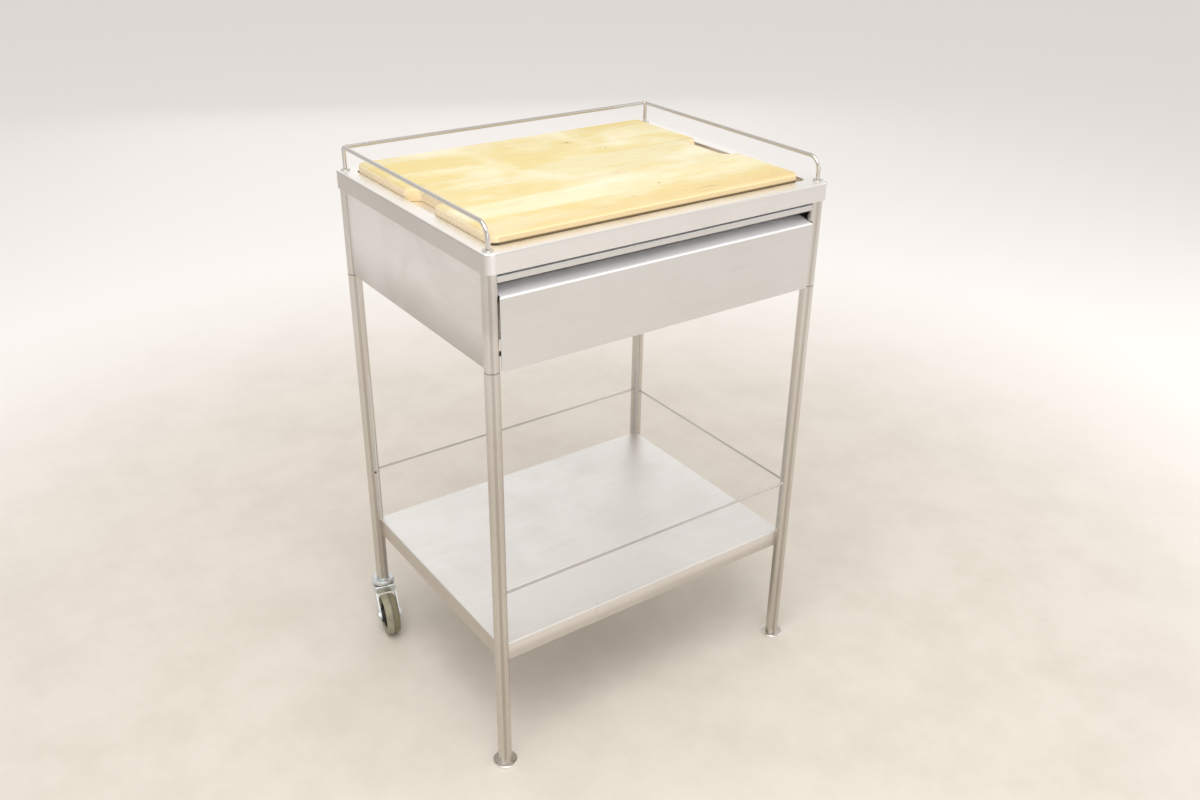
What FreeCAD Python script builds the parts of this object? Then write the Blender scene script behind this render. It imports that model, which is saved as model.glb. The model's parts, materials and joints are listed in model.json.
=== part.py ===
"""Instrument cart: a stainless steel trolley with a drawer, a lift-out board and a lower shelf.

The cart stands on two fixed feet at the front and two swivel casters at the back. Its origin is
the centre of the footprint on the floor, with +X to the right along the drawer's front, +Y to
the back and +Z up. All sizes are in millimetres.
"""
import FreeCAD, Part
import math
import os

# ---------------------------------------------------------------------------------------------
# Overall sizes
# ---------------------------------------------------------------------------------------------
cart_width = 600.0
cart_depth = 466.0
top_height = 858.2
apron_height = 167.8
shelf_height = 226.7
rod_height = 324.5
wheel_diameter = 75.0

# Sheet metal
top_sheet = 1.2
panel_sheet = 1.0
tray_sheet = 1.0
shelf_sheet = 1.2
bend_radius = 2.4

# Corner posts and legs, all from one round tube
tube_diameter = 21.7
tube_wall = 1.5
post_to_side = 2.05
post_to_front = 5.15
joint_plug_length = 60.0
post_cap_length = 16.0

# Top with its recess
skirt_height = 27.6
top_corner_radius = 15.0
recess_depth = 7.5
recess_corner_radius = 12.0
border_side = 24.0
border_front = 27.2
recess_lip_radius = 0.9

# Apron panels and front rail
panel_setback = 4.9
panel_return = 11.0
front_rail_height = 9.8
front_rail_drop = 34.5
front_rail_return = 18.0

# Work board, loose in the recess
board_thickness = 20.0
board_gap_left = 1.5
board_gap_right = 15.0
board_gap_front = 1.6
board_gap_back = 1.6
board_corner_radius = 12.0
board_edge_round = 4.5
board_under_round = 2.0
notch_mouth_radius = 8.0
left_notch_length = 84.0
left_notch_depth = 22.0
left_notch_place = -4.5
left_notch_round = 11.0
right_notch_length = 104.0
right_notch_depth = 25.0
right_notch_place = -12.0
right_notch_round = 20.0

# Drawer
drawer_top_drop = 56.0
drawer_front_overhang = 1.1
drawer_front_sheet = 1.2
drawer_face_to_post = 1.55
drawer_corner_radius = 6.0
lip_depth = 34.0
lip_rise = 7.0
lip_hem = 7.0
lip_bend_radius = 2.6
tray_under_front = 38.0
tray_top_drop = 11.5
tray_side_space = 10.0
tray_rear_space = 24.0
runner_sheet = 1.2
runner_height = 15.0
runner_inner_reach = 6.0
runner_clearance = 0.4
runner_end_space = 1.2
glide_height = 5.0
glide_width = 4.6
glide_wall = 1.2
drawer_travel = 330.0
stop_lug_thickness = 2.0
stop_slack = 0.5
buffer_radius = 3.0
buffer_height_up = 25.0

# Guard rail round three sides of the top
guard_rod_diameter = 6.0
guard_height = 34.8
guard_end_bend = 20.0
guard_corner_bend = 4.5
guard_seat_depth = 10.0
washer_radius = 7.6
washer_thickness = 1.5

# Lower shelf and its rods
shelf_skirt = 30.0
shelf_inset_from_legs_x = 1.3
shelf_inset_from_legs_y = 2.6
shelf_rod_diameter = 4.0
rod_end_reach = 6.0

# Fixed feet at the front
foot_radius = 19.7
foot_thickness = 3.6
foot_edge_round = 1.2
foot_plug_length = 28.0

# Swivel casters at the back
caster_turn = 12.0
caster_trail = 36.0
caster_crown_gap = 9.5
fork_plate = 2.5
fork_inner_width = 32.0
fork_crown_radius = 18.5
fork_eye_radius = 9.0
fork_web_height = 13.0
swivel_gap = 1.8
swivel_play = 0.3
race_thickness = 1.5
race_radius = 14.5
housing_radius = 19.4
housing_height = 7.2
housing_collar_height = 2.6
housing_edge_round = 2.6
kingpin_radius = 5.0
kingpin_head_radius = 8.5
kingpin_head_height = 3.2
stem_radius = 5.5
stem_length = 46.0
plug_length = 38.0
running_clearance = 0.05
axle_radius = 4.0
axle_head_flats = 13.0
axle_head_height = 2.2
axle_nut_height = 2.4
axle_end_reach = 0.6
sleeve_wall = 2.0
tyre_width = 24.0
tyre_thickness = 11.0
tyre_crown = 2.6
tyre_shoulder = 3.5
core_width = 19.0
core_web = 7.0
core_rim = 4.0
hub_radius = 13.0
hub_end_gap = 0.4

# ---------------------------------------------------------------------------------------------
# Places that follow from the sizes above
# ---------------------------------------------------------------------------------------------
X_AXIS = FreeCAD.Vector(1, 0, 0)
Y_AXIS = FreeCAD.Vector(0, 1, 0)
Z_AXIS = FreeCAD.Vector(0, 0, 1)
ORIGIN = FreeCAD.Vector(0, 0, 0)

tube_radius = tube_diameter / 2
tube_bore = tube_radius - tube_wall
post_x = cart_width / 2 - post_to_side - tube_radius
post_y = cart_depth / 2 - post_to_front - tube_radius
seam_height = top_height - apron_height
under_top = top_height - top_sheet
panel_x = post_x + tube_radius - panel_setback
panel_y = post_y + tube_radius - panel_setback

recess_x = cart_width / 2 - border_side
recess_y = cart_depth / 2 - border_front
recess_floor = top_height - recess_depth

front_rail_top = top_height - front_rail_drop
front_rail_bottom = front_rail_top - front_rail_height

drawer_half_width = post_x - tube_radius + drawer_front_overhang
drawer_face_y = -(post_y + tube_radius - drawer_face_to_post)
drawer_back_y = drawer_face_y + drawer_front_sheet
drawer_top = top_height - drawer_top_drop
drawer_bottom = seam_height - drawer_front_overhang

tray_x = post_x - tube_radius - tray_side_space
tray_bottom = drawer_bottom + tray_under_front
tray_top = drawer_top - lip_hem - tray_top_drop
tray_rear = panel_y - tray_rear_space
flange_x = post_x - tube_radius - runner_clearance * 2
runner_inside_x = post_x - tube_radius - runner_inner_reach
runner_outside_x = panel_x - panel_sheet
runner_front = -(post_y - tube_radius - runner_end_space)
runner_back = post_y - tube_radius - runner_end_space
glide_bottom = tray_top - tray_sheet / 2 - glide_height / 2
glide_top = glide_bottom + glide_height
runner_floor = glide_bottom - runner_clearance
runner_bottom = runner_floor - runner_sheet
runner_top = runner_bottom + runner_height
stop_tab_bottom = glide_top + runner_clearance
stop_tab_inside = tray_x + tray_sheet + runner_clearance * 2
stop_tab_back = runner_front + runner_sheet
stop_lug_front = stop_tab_back + drawer_travel + stop_slack
buffer_height = drawer_bottom + buffer_height_up

shelf_x = post_x - shelf_inset_from_legs_x
shelf_y = post_y - shelf_inset_from_legs_y
shelf_bottom = shelf_height - shelf_skirt
shelf_rod_radius = shelf_rod_diameter / 2
guard_radius = guard_rod_diameter / 2
guard_line = top_height + guard_height
guard_seat = under_top - guard_seat_depth

wheel_radius = wheel_diameter / 2
axle_height = wheel_radius
fork_top = wheel_diameter + caster_crown_gap + fork_plate
housing_bottom = fork_top + swivel_gap
housing_top = housing_bottom + housing_height
leg_end_back = housing_top + housing_collar_height
leg_end_front = foot_thickness
core_radius = wheel_radius - tyre_thickness
sleeve_radius = axle_radius + running_clearance + sleeve_wall
sleeve_half = fork_inner_width / 2
fork_outside = fork_inner_width / 2 + fork_plate

LEFT, RIGHT = -1, 1
FRONT, BACK = -1, 1


# ---------------------------------------------------------------------------------------------
# Shared shapes
# ---------------------------------------------------------------------------------------------
def vec(x, y, z):
    return FreeCAD.Vector(x, y, z)


def box(x0, x1, y0, y1, z0, z1):
    """A box between two corners, given in any order."""
    low = vec(min(x0, x1), min(y0, y1), min(z0, z1))
    return Part.makeBox(abs(x1 - x0), abs(y1 - y0), abs(z1 - z0), low)


def rod(radius, length, base, direction=Z_AXIS):
    return Part.makeCylinder(radius, length, base, direction)


def upright_edges(shape):
    """The straight edges that run along Z."""
    found = []
    for edge in shape.Edges:
        start, end = edge.Vertexes[0].Point, edge.Vertexes[-1].Point
        if abs(start.x - end.x) < 1e-6 and abs(start.y - end.y) < 1e-6:
            found.append(edge)
    return found


def level_edges(shape, height):
    """The edges that lie flat at one height."""
    return [e for e in shape.Edges if abs(e.BoundBox.ZMin - height) < 1e-6 and e.BoundBox.ZLength < 1e-6]


def rounded_box(half_x, half_y, z0, z1, radius):
    """A box about the Z axis with its four upright edges rounded."""
    body = box(-half_x, half_x, -half_y, half_y, z0, z1)
    return body.makeFillet(radius, upright_edges(body))


def clean(shape):
    """Merge faces that lie on one surface, and give back the bare solid where there is one."""
    shape = shape.removeSplitter()
    return shape.Solids[0] if len(shape.Solids) == 1 else shape


def fuse_all(shapes):
    return clean(shapes[0].multiFuse(shapes[1:]))


def cut_all(shape, tools):
    """Take every tool away from the shape."""
    return clean(shape.cut(tools))


def mirrored_x(shape):
    return shape.mirror(ORIGIN, X_AXIS)


def folded(points, thickness, radius, place, extrusion):
    """Sheet folded along a line of points, with a round bend at each inner point.

    The points give the sheet's right-hand side in its own (a, b) plane. At a bend of angle w the
    two faces are arcs about one centre, and an arc of radius r starts r * tan(w / 2) before the
    corner. place turns (a, b) into a point, and extrusion is the vector the outline is swept by.
    """
    def point(pair):
        return place(pair[0], pair[1])

    def unit(p, q):
        length = math.hypot(q[0] - p[0], q[1] - p[1])
        return ((q[0] - p[0]) / length, (q[1] - p[1]) / length)

    def ahead(p, d, s):
        return (p[0] + d[0] * s, p[1] + d[1] * s)

    def left(d):
        return (-d[1], d[0])

    first = unit(points[0], points[1])
    near = [("line", points[0])]
    far = [("line", ahead(points[0], left(first), thickness))]
    for before, corner, after in zip(points, points[1:], points[2:]):
        d_in, d_out = unit(before, corner), unit(corner, after)
        turn = math.atan2(d_in[0] * d_out[1] - d_in[1] * d_out[0], d_in[0] * d_out[0] + d_in[1] * d_out[1])
        side = 1 if turn > 0 else -1
        near_radius = radius + thickness if side > 0 else radius
        far_radius = near_radius - side * thickness
        reach = near_radius * math.tan(abs(turn) / 2)
        start, end = ahead(corner, d_in, -reach), ahead(corner, d_out, reach)
        centre = ahead(start, left(d_in), side * near_radius)
        middle_way = unit(centre, corner)
        near += [("line", start), ("arc", ahead(centre, middle_way, near_radius)), ("end", end)]
        far_start = ahead(start, left(d_in), thickness)
        far_end = ahead(end, left(d_out), thickness)
        far += [("line", far_start), ("arc", ahead(centre, middle_way, far_radius)), ("end", far_end)]
    last = unit(points[-2], points[-1])
    near.append(("line", points[-1]))
    far.append(("line", ahead(points[-1], left(last), thickness)))

    def edges_of(chain):
        made = []
        here = chain[0][1]
        index = 1
        while index < len(chain):
            kind, spot = chain[index]
            if kind == "arc":
                stop = chain[index + 1][1]
                made.append(Part.Arc(point(here), point(spot), point(stop)).toShape())
                here = stop
                index += 2
            else:
                if math.dist(here, spot) > 1e-7:
                    made.append(Part.makeLine(point(here), point(spot)))
                here = spot
                index += 1
        return made

    edges = edges_of(near) + edges_of(far)
    edges.append(Part.makeLine(point(near[0][1]), point(far[0][1])))
    edges.append(Part.makeLine(point(near[-1][1]), point(far[-1][1])))
    outline = Part.Wire(Part.__sortEdges__(edges))
    return Part.Face(outline).extrude(extrusion)


def across(start_x):
    """Place an outline in the (y, z) plane at one x."""
    return lambda a, b: vec(start_x, a, b)


def along(start_y):
    """Place an outline in the (x, z) plane at one y."""
    return lambda a, b: vec(a, start_y, b)


def bent_rod(points, bends, radius):
    """A round rod along a line of points, bent to the given radius at each inner point."""
    pieces = []
    here = points[0]
    for corner, after, bend in zip(points[1:], points[2:], bends):
        d_in = (corner - here).normalize()
        d_out = (after - corner).normalize()
        turn = d_in.getAngle(d_out)
        reach = bend * math.tan(turn / 2)
        start = corner - d_in * reach
        normal = d_in.cross(d_out).normalize()
        centre = start + normal.cross(d_in) * bend
        pieces.append(rod(radius, (start - here).Length, here, d_in))
        ring = Part.Face(Part.Wire(Part.makeCircle(radius, start, d_in)))
        pieces.append(ring.revolve(centre, normal, math.degrees(turn)))
        here = corner + d_out * reach
    pieces.append(rod(radius, (points[-1] - here).Length, here, (points[-1] - here).normalize()))
    return fuse_all(pieces)


def turned(outline, base=ORIGIN):
    """A solid of revolution about Z from (radius, height) points, moved to a base point."""
    corners = [vec(r, 0, z) for r, z in outline]
    face = Part.Face(Part.makePolygon(corners + corners[:1]))
    solid = face.revolve(ORIGIN, Z_AXIS, 360)
    solid.translate(base)
    return solid


def hexagon(flats, height, base, direction):
    """A hexagonal prism, measured across its flats."""
    reach = flats / math.sqrt(3)
    corners = [vec(reach * math.cos(math.radians(60 * k)), reach * math.sin(math.radians(60 * k)), 0)
               for k in range(7)]
    prism = Part.Face(Part.makePolygon(corners)).extrude(vec(0, 0, height))
    prism.Placement = FreeCAD.Placement(base, FreeCAD.Rotation(Z_AXIS, direction))
    return prism


def save(name, shape):
    """Write one piece to its own STEP file."""
    shape.exportStep(os.path.join("parts", name + ".step"))


# ---------------------------------------------------------------------------------------------
# Frame
# ---------------------------------------------------------------------------------------------
def corners():
    """The four corner places as (name, side, end)."""
    return [("front_left", LEFT, FRONT), ("front_right", RIGHT, FRONT),
            ("back_left", LEFT, BACK), ("back_right", RIGHT, BACK)]


def corner_point(side, end, height):
    return vec(side * post_x, end * post_y, height)


def tube(side, end, z0, z1):
    """A length of the frame tube at one corner."""
    base = corner_point(side, end, z0)
    return rod(tube_radius, z1 - z0, base).cut(rod(tube_bore, z1 - z0, base))


def corner_cylinders(z0, z1):
    """Solid cylinders where the posts stand, to cut the sheets that meet them."""
    return [rod(tube_radius, z1 - z0, corner_point(side, end, z0)) for _, side, end in corners()]


def corner_posts():
    """The upper tube at each corner, from the seam under the apron to the top sheet."""
    return {"post_" + name: tube(side, end, seam_height, under_top) for name, side, end in corners()}


def shelf_rod_lines():
    """The shelf's guard rods, as (name, start, end). The left side has none."""
    near_x = post_x - rod_end_reach
    near_y = post_y - rod_end_reach
    return [("shelf_rod_front", vec(-near_x, -post_y, rod_height), vec(near_x, -post_y, rod_height)),
            ("shelf_rod_back", vec(-near_x, post_y, rod_height), vec(near_x, post_y, rod_height)),
            ("shelf_rod_right", vec(post_x, -near_y, rod_height), vec(post_x, near_y, rod_height))]


def shelf_rods():
    return {name: rod(shelf_rod_radius, (end - start).Length, start, end - start)
            for name, start, end in shelf_rod_lines()}


def legs():
    """The lower tubes, with the holes that the shelf rods enter.

    The two left legs are drilled for a rod along the left side as well, and those holes are empty.
    """
    drills = list(shelf_rods().values())
    empty_length = 2 * (post_y - rod_end_reach)
    drills.append(rod(shelf_rod_radius, empty_length, vec(-post_x, -empty_length / 2, rod_height), Y_AXIS))
    made = {}
    for name, side, end in corners():
        bottom = leg_end_front if end == FRONT else leg_end_back
        made["leg_" + name] = cut_all(tube(side, end, bottom, seam_height), drills)
    return made


def leg_joint_plugs():
    """Plugs that join each leg to the post above it, half in one and half in the other."""
    middle = seam_height - joint_plug_length / 2
    return Part.makeCompound([rod(tube_bore, joint_plug_length, corner_point(side, end, middle))
                              for _, side, end in corners()])


def guard_seats(side, end):
    """The hole that a guard rail's end stands in, through the washer, the top and the post cap."""
    return rod(guard_radius, washer_thickness + top_height - guard_seat, corner_point(side, end, guard_seat))


def post_caps():
    """Caps in the posts' upper ends, drilled to take the guard rail's ends."""
    caps = []
    for _, side, end in corners():
        cap = rod(tube_bore, post_cap_length, corner_point(side, end, under_top - post_cap_length))
        caps.append(cap.cut(guard_seats(side, end)))
    return Part.makeCompound(caps)


def top_plate():
    """The top: a down-turned skirt, a flat border and a shallow recess for the board."""
    half_x, half_y = cart_width / 2, cart_depth / 2
    skirt_bottom = top_height - skirt_height
    outer = rounded_box(half_x, half_y, skirt_bottom, top_height, top_corner_radius)
    outer = outer.makeFillet(bend_radius, level_edges(outer, top_height))
    inner = rounded_box(half_x - top_sheet, half_y - top_sheet, skirt_bottom, under_top,
                        top_corner_radius - top_sheet)
    inner = inner.makeFillet(bend_radius - top_sheet, level_edges(inner, under_top))
    shell = outer.cut(inner)
    pan = rounded_box(recess_x + top_sheet, recess_y + top_sheet, recess_floor - top_sheet,
                      top_height, recess_corner_radius + top_sheet)
    hollow = rounded_box(recess_x, recess_y, recess_floor, top_height, recess_corner_radius)
    plate = clean(shell.fuse(pan).cut(hollow))
    mouth = [e for e in level_edges(plate, top_height)
             if abs(e.BoundBox.Center.x) <= recess_x and abs(e.BoundBox.Center.y) <= recess_y]
    plate = plate.makeFillet(recess_lip_radius, mouth)
    return cut_all(plate, [guard_seats(side, end) for _, side, end in corners()])


def side_panel(side):
    """A side of the apron, turned in along its lower edge and cut to meet the posts."""
    outline = [(panel_x - panel_return, seam_height), (panel_x, seam_height), (panel_x, under_top)]
    panel = folded(outline, panel_sheet, bend_radius, along(-post_y), vec(0, 2 * post_y, 0))
    panel = cut_all(panel, corner_cylinders(seam_height - 1, top_height))
    return panel if side == RIGHT else mirrored_x(panel)


def back_panel():
    """The back of the apron, made like the sides."""
    outline = [(panel_y - panel_return, seam_height), (panel_y, seam_height), (panel_y, under_top)]
    panel = folded(outline, panel_sheet, bend_radius, across(-post_x), vec(2 * post_x, 0, 0))
    return cut_all(panel, corner_cylinders(seam_height - 1, top_height))


def front_rail():
    """The rail over the drawer: a channel between the front posts, open to the back."""
    back_y = -panel_y + front_rail_return
    outline = [(back_y, front_rail_top), (-panel_y, front_rail_top),
               (-panel_y, front_rail_bottom), (back_y, front_rail_bottom)]
    rail = folded(outline, panel_sheet, panel_sheet, across(-post_x), vec(2 * post_x, 0, 0))
    return cut_all(rail, corner_cylinders(seam_height, top_height))


def lower_shelf():
    """The lower shelf: a flat sheet with turned-down edges, notched round the legs."""
    outer = box(-shelf_x, shelf_x, -shelf_y, shelf_y, shelf_bottom, shelf_height)
    outer = outer.makeFillet(bend_radius, level_edges(outer, shelf_height))
    inner = box(-shelf_x + shelf_sheet, shelf_x - shelf_sheet, -shelf_y + shelf_sheet,
                shelf_y - shelf_sheet, shelf_bottom, shelf_height - shelf_sheet)
    inner = inner.makeFillet(bend_radius - shelf_sheet, level_edges(inner, shelf_height - shelf_sheet))
    return cut_all(outer.cut(inner), corner_cylinders(shelf_bottom - 1, shelf_height + 1))


def guard_rail():
    """The bent rod round the left, back and right sides, ending down in the front posts."""
    points = [corner_point(LEFT, FRONT, guard_seat), corner_point(LEFT, FRONT, guard_line),
              corner_point(LEFT, BACK, guard_line), corner_point(RIGHT, BACK, guard_line),
              corner_point(RIGHT, FRONT, guard_line), corner_point(RIGHT, FRONT, guard_seat)]
    bends = [guard_end_bend, guard_corner_bend, guard_corner_bend, guard_end_bend]
    return bent_rod(points, bends, guard_radius)


def guard_posts():
    """The two upright rods at the rail's back corners, notched to the rail above them."""
    rail = guard_rail()
    made = {}
    for name, side in (("guard_post_left", LEFT), ("guard_post_right", RIGHT)):
        upright = rod(guard_radius, guard_line - guard_seat, corner_point(side, BACK, guard_seat))
        made[name] = max(upright.cut(rail).Solids, key=lambda solid: solid.Volume)
    return made


def guard_washers():
    """A flat washer under each of the four upright ends."""
    rings = []
    for _, side, end in corners():
        disc = rod(washer_radius, washer_thickness, corner_point(side, end, top_height))
        disc = disc.makeFillet(washer_thickness / 3, level_edges(disc, top_height + washer_thickness))
        rings.append(disc.cut(guard_seats(side, end)))
    return Part.makeCompound(rings)


def front_feet():
    """A round flanged foot pressed into each front leg."""
    made = {}
    for name, side in (("foot_left", LEFT), ("foot_right", RIGHT)):
        base = corner_point(side, FRONT, 0)
        disc = rod(foot_radius, foot_thickness, base)
        disc = disc.makeFillet(foot_edge_round, level_edges(disc, foot_thickness))
        plug = rod(tube_bore, foot_plug_length, base)
        made[name] = fuse_all([disc, plug])
    return made


# ---------------------------------------------------------------------------------------------
# Drawer and its runners
# ---------------------------------------------------------------------------------------------
def runner(side):
    """A channel on the side panel, open to the middle, that the drawer's flange slides in."""
    outline = [(runner_inside_x, runner_bottom), (runner_outside_x, runner_bottom),
               (runner_outside_x, runner_top), (runner_inside_x, runner_top)]
    length = runner_back - runner_front
    channel = folded(outline, runner_sheet, runner_sheet / 2, along(runner_front), vec(0, length, 0))
    tab = box(stop_tab_inside, runner_outside_x - runner_sheet, runner_front, stop_tab_back,
              stop_tab_bottom, runner_top)
    channel = fuse_all([channel, tab])
    return channel if side == RIGHT else mirrored_x(channel)


def drawer_front():
    """The drawer's face, folded back along the top into a finger lip with a safe hem."""
    lip_end = drawer_face_y + lip_depth
    outline = [(drawer_face_y, drawer_bottom), (drawer_face_y, drawer_top - lip_rise),
               (lip_end, drawer_top), (lip_end, drawer_top - lip_hem)]
    outline.reverse()
    face = folded(outline, drawer_front_sheet, lip_bend_radius, across(-drawer_half_width),
                  vec(2 * drawer_half_width, 0, 0))
    low = [e for e in face.Edges
           if abs(e.BoundBox.ZMax - drawer_bottom) < 1e-6 and e.BoundBox.XLength < 1e-6]
    face = face.makeFillet(drawer_corner_radius, low)
    beside_posts = box(flange_x, cart_width, drawer_back_y, 0, drawer_bottom - 1, top_height)
    return cut_all(face, [beside_posts, mirrored_x(beside_posts)])


def drawer_tray():
    """The drawer's open box, with a flange out to each side near the top and a stop lug on each."""
    front = drawer_back_y
    flange_end = flange_x - glide_wall
    outline = [(flange_end, tray_top), (tray_x, tray_top), (tray_x, tray_bottom),
               (-tray_x, tray_bottom), (-tray_x, tray_top), (-flange_end, tray_top)]
    trough = folded(outline, tray_sheet, tray_sheet, along(front), vec(0, tray_rear - front, 0))
    wall_top = tray_top - 2 * tray_sheet
    ends = [box(-tray_x, tray_x, y, y + tray_sheet, tray_bottom, wall_top)
            for y in (front, tray_rear - tray_sheet)]
    lug_top = runner_top - runner_sheet - 2 * runner_clearance
    lug = box(tray_x + tray_sheet, flange_x - glide_width - runner_clearance,
              stop_lug_front, stop_lug_front + stop_lug_thickness, tray_top - tray_sheet, lug_top)
    return fuse_all([trough, lug, mirrored_x(lug)] + ends)


def drawer_glide():
    """A nylon strip slotted over the edge of the tray's right flange."""
    strip = box(flange_x - glide_width, flange_x, drawer_back_y + tray_sheet, tray_rear,
                glide_bottom, glide_top)
    slot = box(tray_x, flange_x - glide_wall, drawer_back_y, tray_rear + tray_sheet,
               tray_top - tray_sheet, tray_top)
    return strip.cut(slot)


def drawer_buffers():
    """Small rubber buffers on the front posts that the drawer's face closes against."""
    x = post_x - tube_radius - drawer_front_overhang
    front = drawer_back_y + runner_clearance
    length = -post_y - front
    button = rod(buffer_radius, length, vec(x, front, buffer_height), Y_AXIS)
    post = rod(tube_radius, 8 * buffer_radius, corner_point(RIGHT, FRONT, buffer_height - 4 * buffer_radius))
    button = clean(button.cut(post))
    return Part.makeCompound([button, mirrored_x(button)])


# ---------------------------------------------------------------------------------------------
# Work board
# ---------------------------------------------------------------------------------------------
def work_board():
    """The loose wooden board: rounded all round, with a hand-hold notch in each short side."""
    x0, x1 = -recess_x + board_gap_left, recess_x - board_gap_right
    y0, y1 = -recess_y + board_gap_front, recess_y - board_gap_back
    z0, z1 = recess_floor, recess_floor + board_thickness
    board = box(x0, x1, y0, y1, z0, z1)
    board = board.makeFillet(board_corner_radius, upright_edges(board))
    notches = [(x0, LEFT, left_notch_length, left_notch_depth, left_notch_place, left_notch_round),
               (x1, RIGHT, right_notch_length, right_notch_depth, right_notch_place, right_notch_round)]
    for edge_x, side, length, depth, place, inner_round in notches:
        low, high = place - length / 2, place + length / 2
        inside = edge_x - side * depth
        board = board.cut(box(inside, edge_x + side * depth, low, high, z0 - 1, z1 + 1))
        deep = [e for e in upright_edges(board) if abs(e.BoundBox.Center.x - inside) < 1e-6]
        board = board.makeFillet(inner_round, deep)
        mouth = [e for e in upright_edges(board)
                 if abs(e.BoundBox.Center.x - edge_x) < 1e-6
                 and min(abs(e.BoundBox.Center.y - low), abs(e.BoundBox.Center.y - high)) < 1e-6]
        board = board.makeFillet(min(notch_mouth_radius, depth - inner_round - 0.1), mouth)
    board = board.makeFillet(board_edge_round, level_edges(board, z1))
    return board.makeFillet(board_under_round, level_edges(board, z0))


# ---------------------------------------------------------------------------------------------
# Casters, made about their own stem with the wheel trailing towards -Y, then put in place
# ---------------------------------------------------------------------------------------------
def caster_place(side):
    """Where a caster stands: under its back leg and turned about its stem."""
    turn = FreeCAD.Rotation(Z_AXIS, side * caster_turn)
    return FreeCAD.Placement(corner_point(side, BACK, 0), turn)


def caster_stem():
    """The riveted stem: its head under the fork, the kingpin, a collar and the long spigot."""
    head_top = fork_top - fork_plate - swivel_play
    outline = [(0, head_top - kingpin_head_height), (kingpin_head_radius, head_top - kingpin_head_height),
               (kingpin_head_radius, head_top), (kingpin_radius, head_top),
               (kingpin_radius, housing_top), (tube_radius - running_clearance, housing_top),
               (tube_radius - running_clearance, leg_end_back), (stem_radius, leg_end_back),
               (stem_radius, leg_end_back + stem_length), (0, leg_end_back + stem_length)]
    return turned(outline)


def caster_housing():
    """The pressed cup over the swivel bearing, hollow underneath round its centre boss."""
    wall = fork_plate
    boss = kingpin_radius + 4
    outline = [(kingpin_radius, housing_bottom), (boss, housing_bottom), (boss, housing_top - wall),
               (housing_radius - wall, housing_top - wall), (housing_radius - wall, housing_bottom),
               (housing_radius, housing_bottom), (housing_radius, housing_top), (kingpin_radius, housing_top)]
    cup = turned(outline)
    rim = [e for e in level_edges(cup, housing_top) if e.BoundBox.XLength > 2 * housing_radius - 1e-6]
    return cup.makeFillet(min(housing_edge_round, housing_height * 0.45), rim)


def caster_plug():
    """The sleeve that wedges the stem in the leg."""
    base = vec(0, 0, leg_end_back)
    return rod(tube_bore, plug_length, base).cut(rod(stem_radius, plug_length, base))


def caster_race():
    """The bearing washer that lies on the fork and turns with it."""
    inner = kingpin_radius + running_clearance
    base = vec(0, 0, fork_top)
    return rod(race_radius, race_thickness, base).cut(rod(inner, race_thickness, base))


def tangent_point(start, centre, radius, side):
    """Where a line from a point touches a circle, on the given side of the circle."""
    dy, dz = centre[0] - start[0], centre[1] - start[1]
    distance = math.hypot(dy, dz)
    angle = math.atan2(dz, dy) + side * math.asin(radius / distance)
    reach = math.sqrt(distance ** 2 - radius ** 2)
    return (start[0] + reach * math.cos(angle), start[1] + reach * math.sin(angle))


def caster_fork():
    """The stamped fork: a round crown, a short front web and two raked cheeks with axle eyes."""
    crown_bottom = fork_top - fork_plate
    web_bottom = fork_top - fork_web_height
    rear = fork_crown_radius * 0.8
    eye = (-caster_trail, axle_height)
    front_touch = tangent_point((-fork_crown_radius, web_bottom), eye, fork_eye_radius, -1)
    rear_touch = tangent_point((rear, web_bottom), eye, fork_eye_radius, 1)
    down = math.atan2(rear_touch[1] - eye[1], rear_touch[0] - eye[0])
    away = math.atan2(front_touch[1] - eye[1], front_touch[0] - eye[0])
    middle = (down + away - 2 * math.pi) / 2 if away > down else (down + away) / 2
    lowest = (eye[0] + fork_eye_radius * math.cos(middle), eye[1] + fork_eye_radius * math.sin(middle))
    cheeks = []
    for x in (-fork_outside, sleeve_half):
        corner_points = [vec(x, *p) for p in (rear_touch, (rear, web_bottom), (rear, fork_top),
                                              (-fork_crown_radius, fork_top),
                                              (-fork_crown_radius, web_bottom), front_touch)]
        edges = [Part.makeLine(p, q) for p, q in zip(corner_points, corner_points[1:])]
        edges.append(Part.Arc(corner_points[-1], vec(x, *lowest), corner_points[0]).toShape())
        cheeks.append(Part.Face(Part.Wire(edges)).extrude(vec(fork_plate, 0, 0)))
    crown = rod(fork_crown_radius, fork_plate, vec(0, 0, crown_bottom))
    bridge = box(-fork_outside, fork_outside, -fork_crown_radius, 0, crown_bottom, fork_top)
    web = box(-fork_outside, fork_outside, -fork_crown_radius, -fork_crown_radius + fork_plate,
              web_bottom, fork_top)
    fork = fuse_all(cheeks + [crown, bridge, web])
    round_off = [e for e in fork.Edges
                 if e.BoundBox.YLength < 1e-6 and abs(e.BoundBox.YMin + fork_crown_radius) < 1e-6
                 and (e.BoundBox.XLength < 1e-6 or abs(e.BoundBox.ZMin - fork_top) < 1e-6)
                 and e.BoundBox.ZMax > web_bottom + 1e-6]
    fork = fork.makeFillet(fork_plate * 0.8, round_off)
    kingpin_hole = rod(kingpin_radius + running_clearance, 2 * fork_plate, vec(0, 0, crown_bottom - 1))
    eye_holes = rod(axle_radius + running_clearance, 2 * fork_outside + 2,
                    vec(-fork_outside - 1, -caster_trail, axle_height), X_AXIS)
    return cut_all(fork, [kingpin_hole, eye_holes])


def axle_bolt():
    """The hexagon-headed bolt through the fork's eyes."""
    start = vec(-fork_outside, -caster_trail, axle_height)
    head = hexagon(axle_head_flats, axle_head_height, start - X_AXIS * axle_head_height, X_AXIS)
    shank = rod(axle_radius, 2 * fork_outside + axle_nut_height + axle_end_reach, start, X_AXIS)
    return fuse_all([head, shank])


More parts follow.
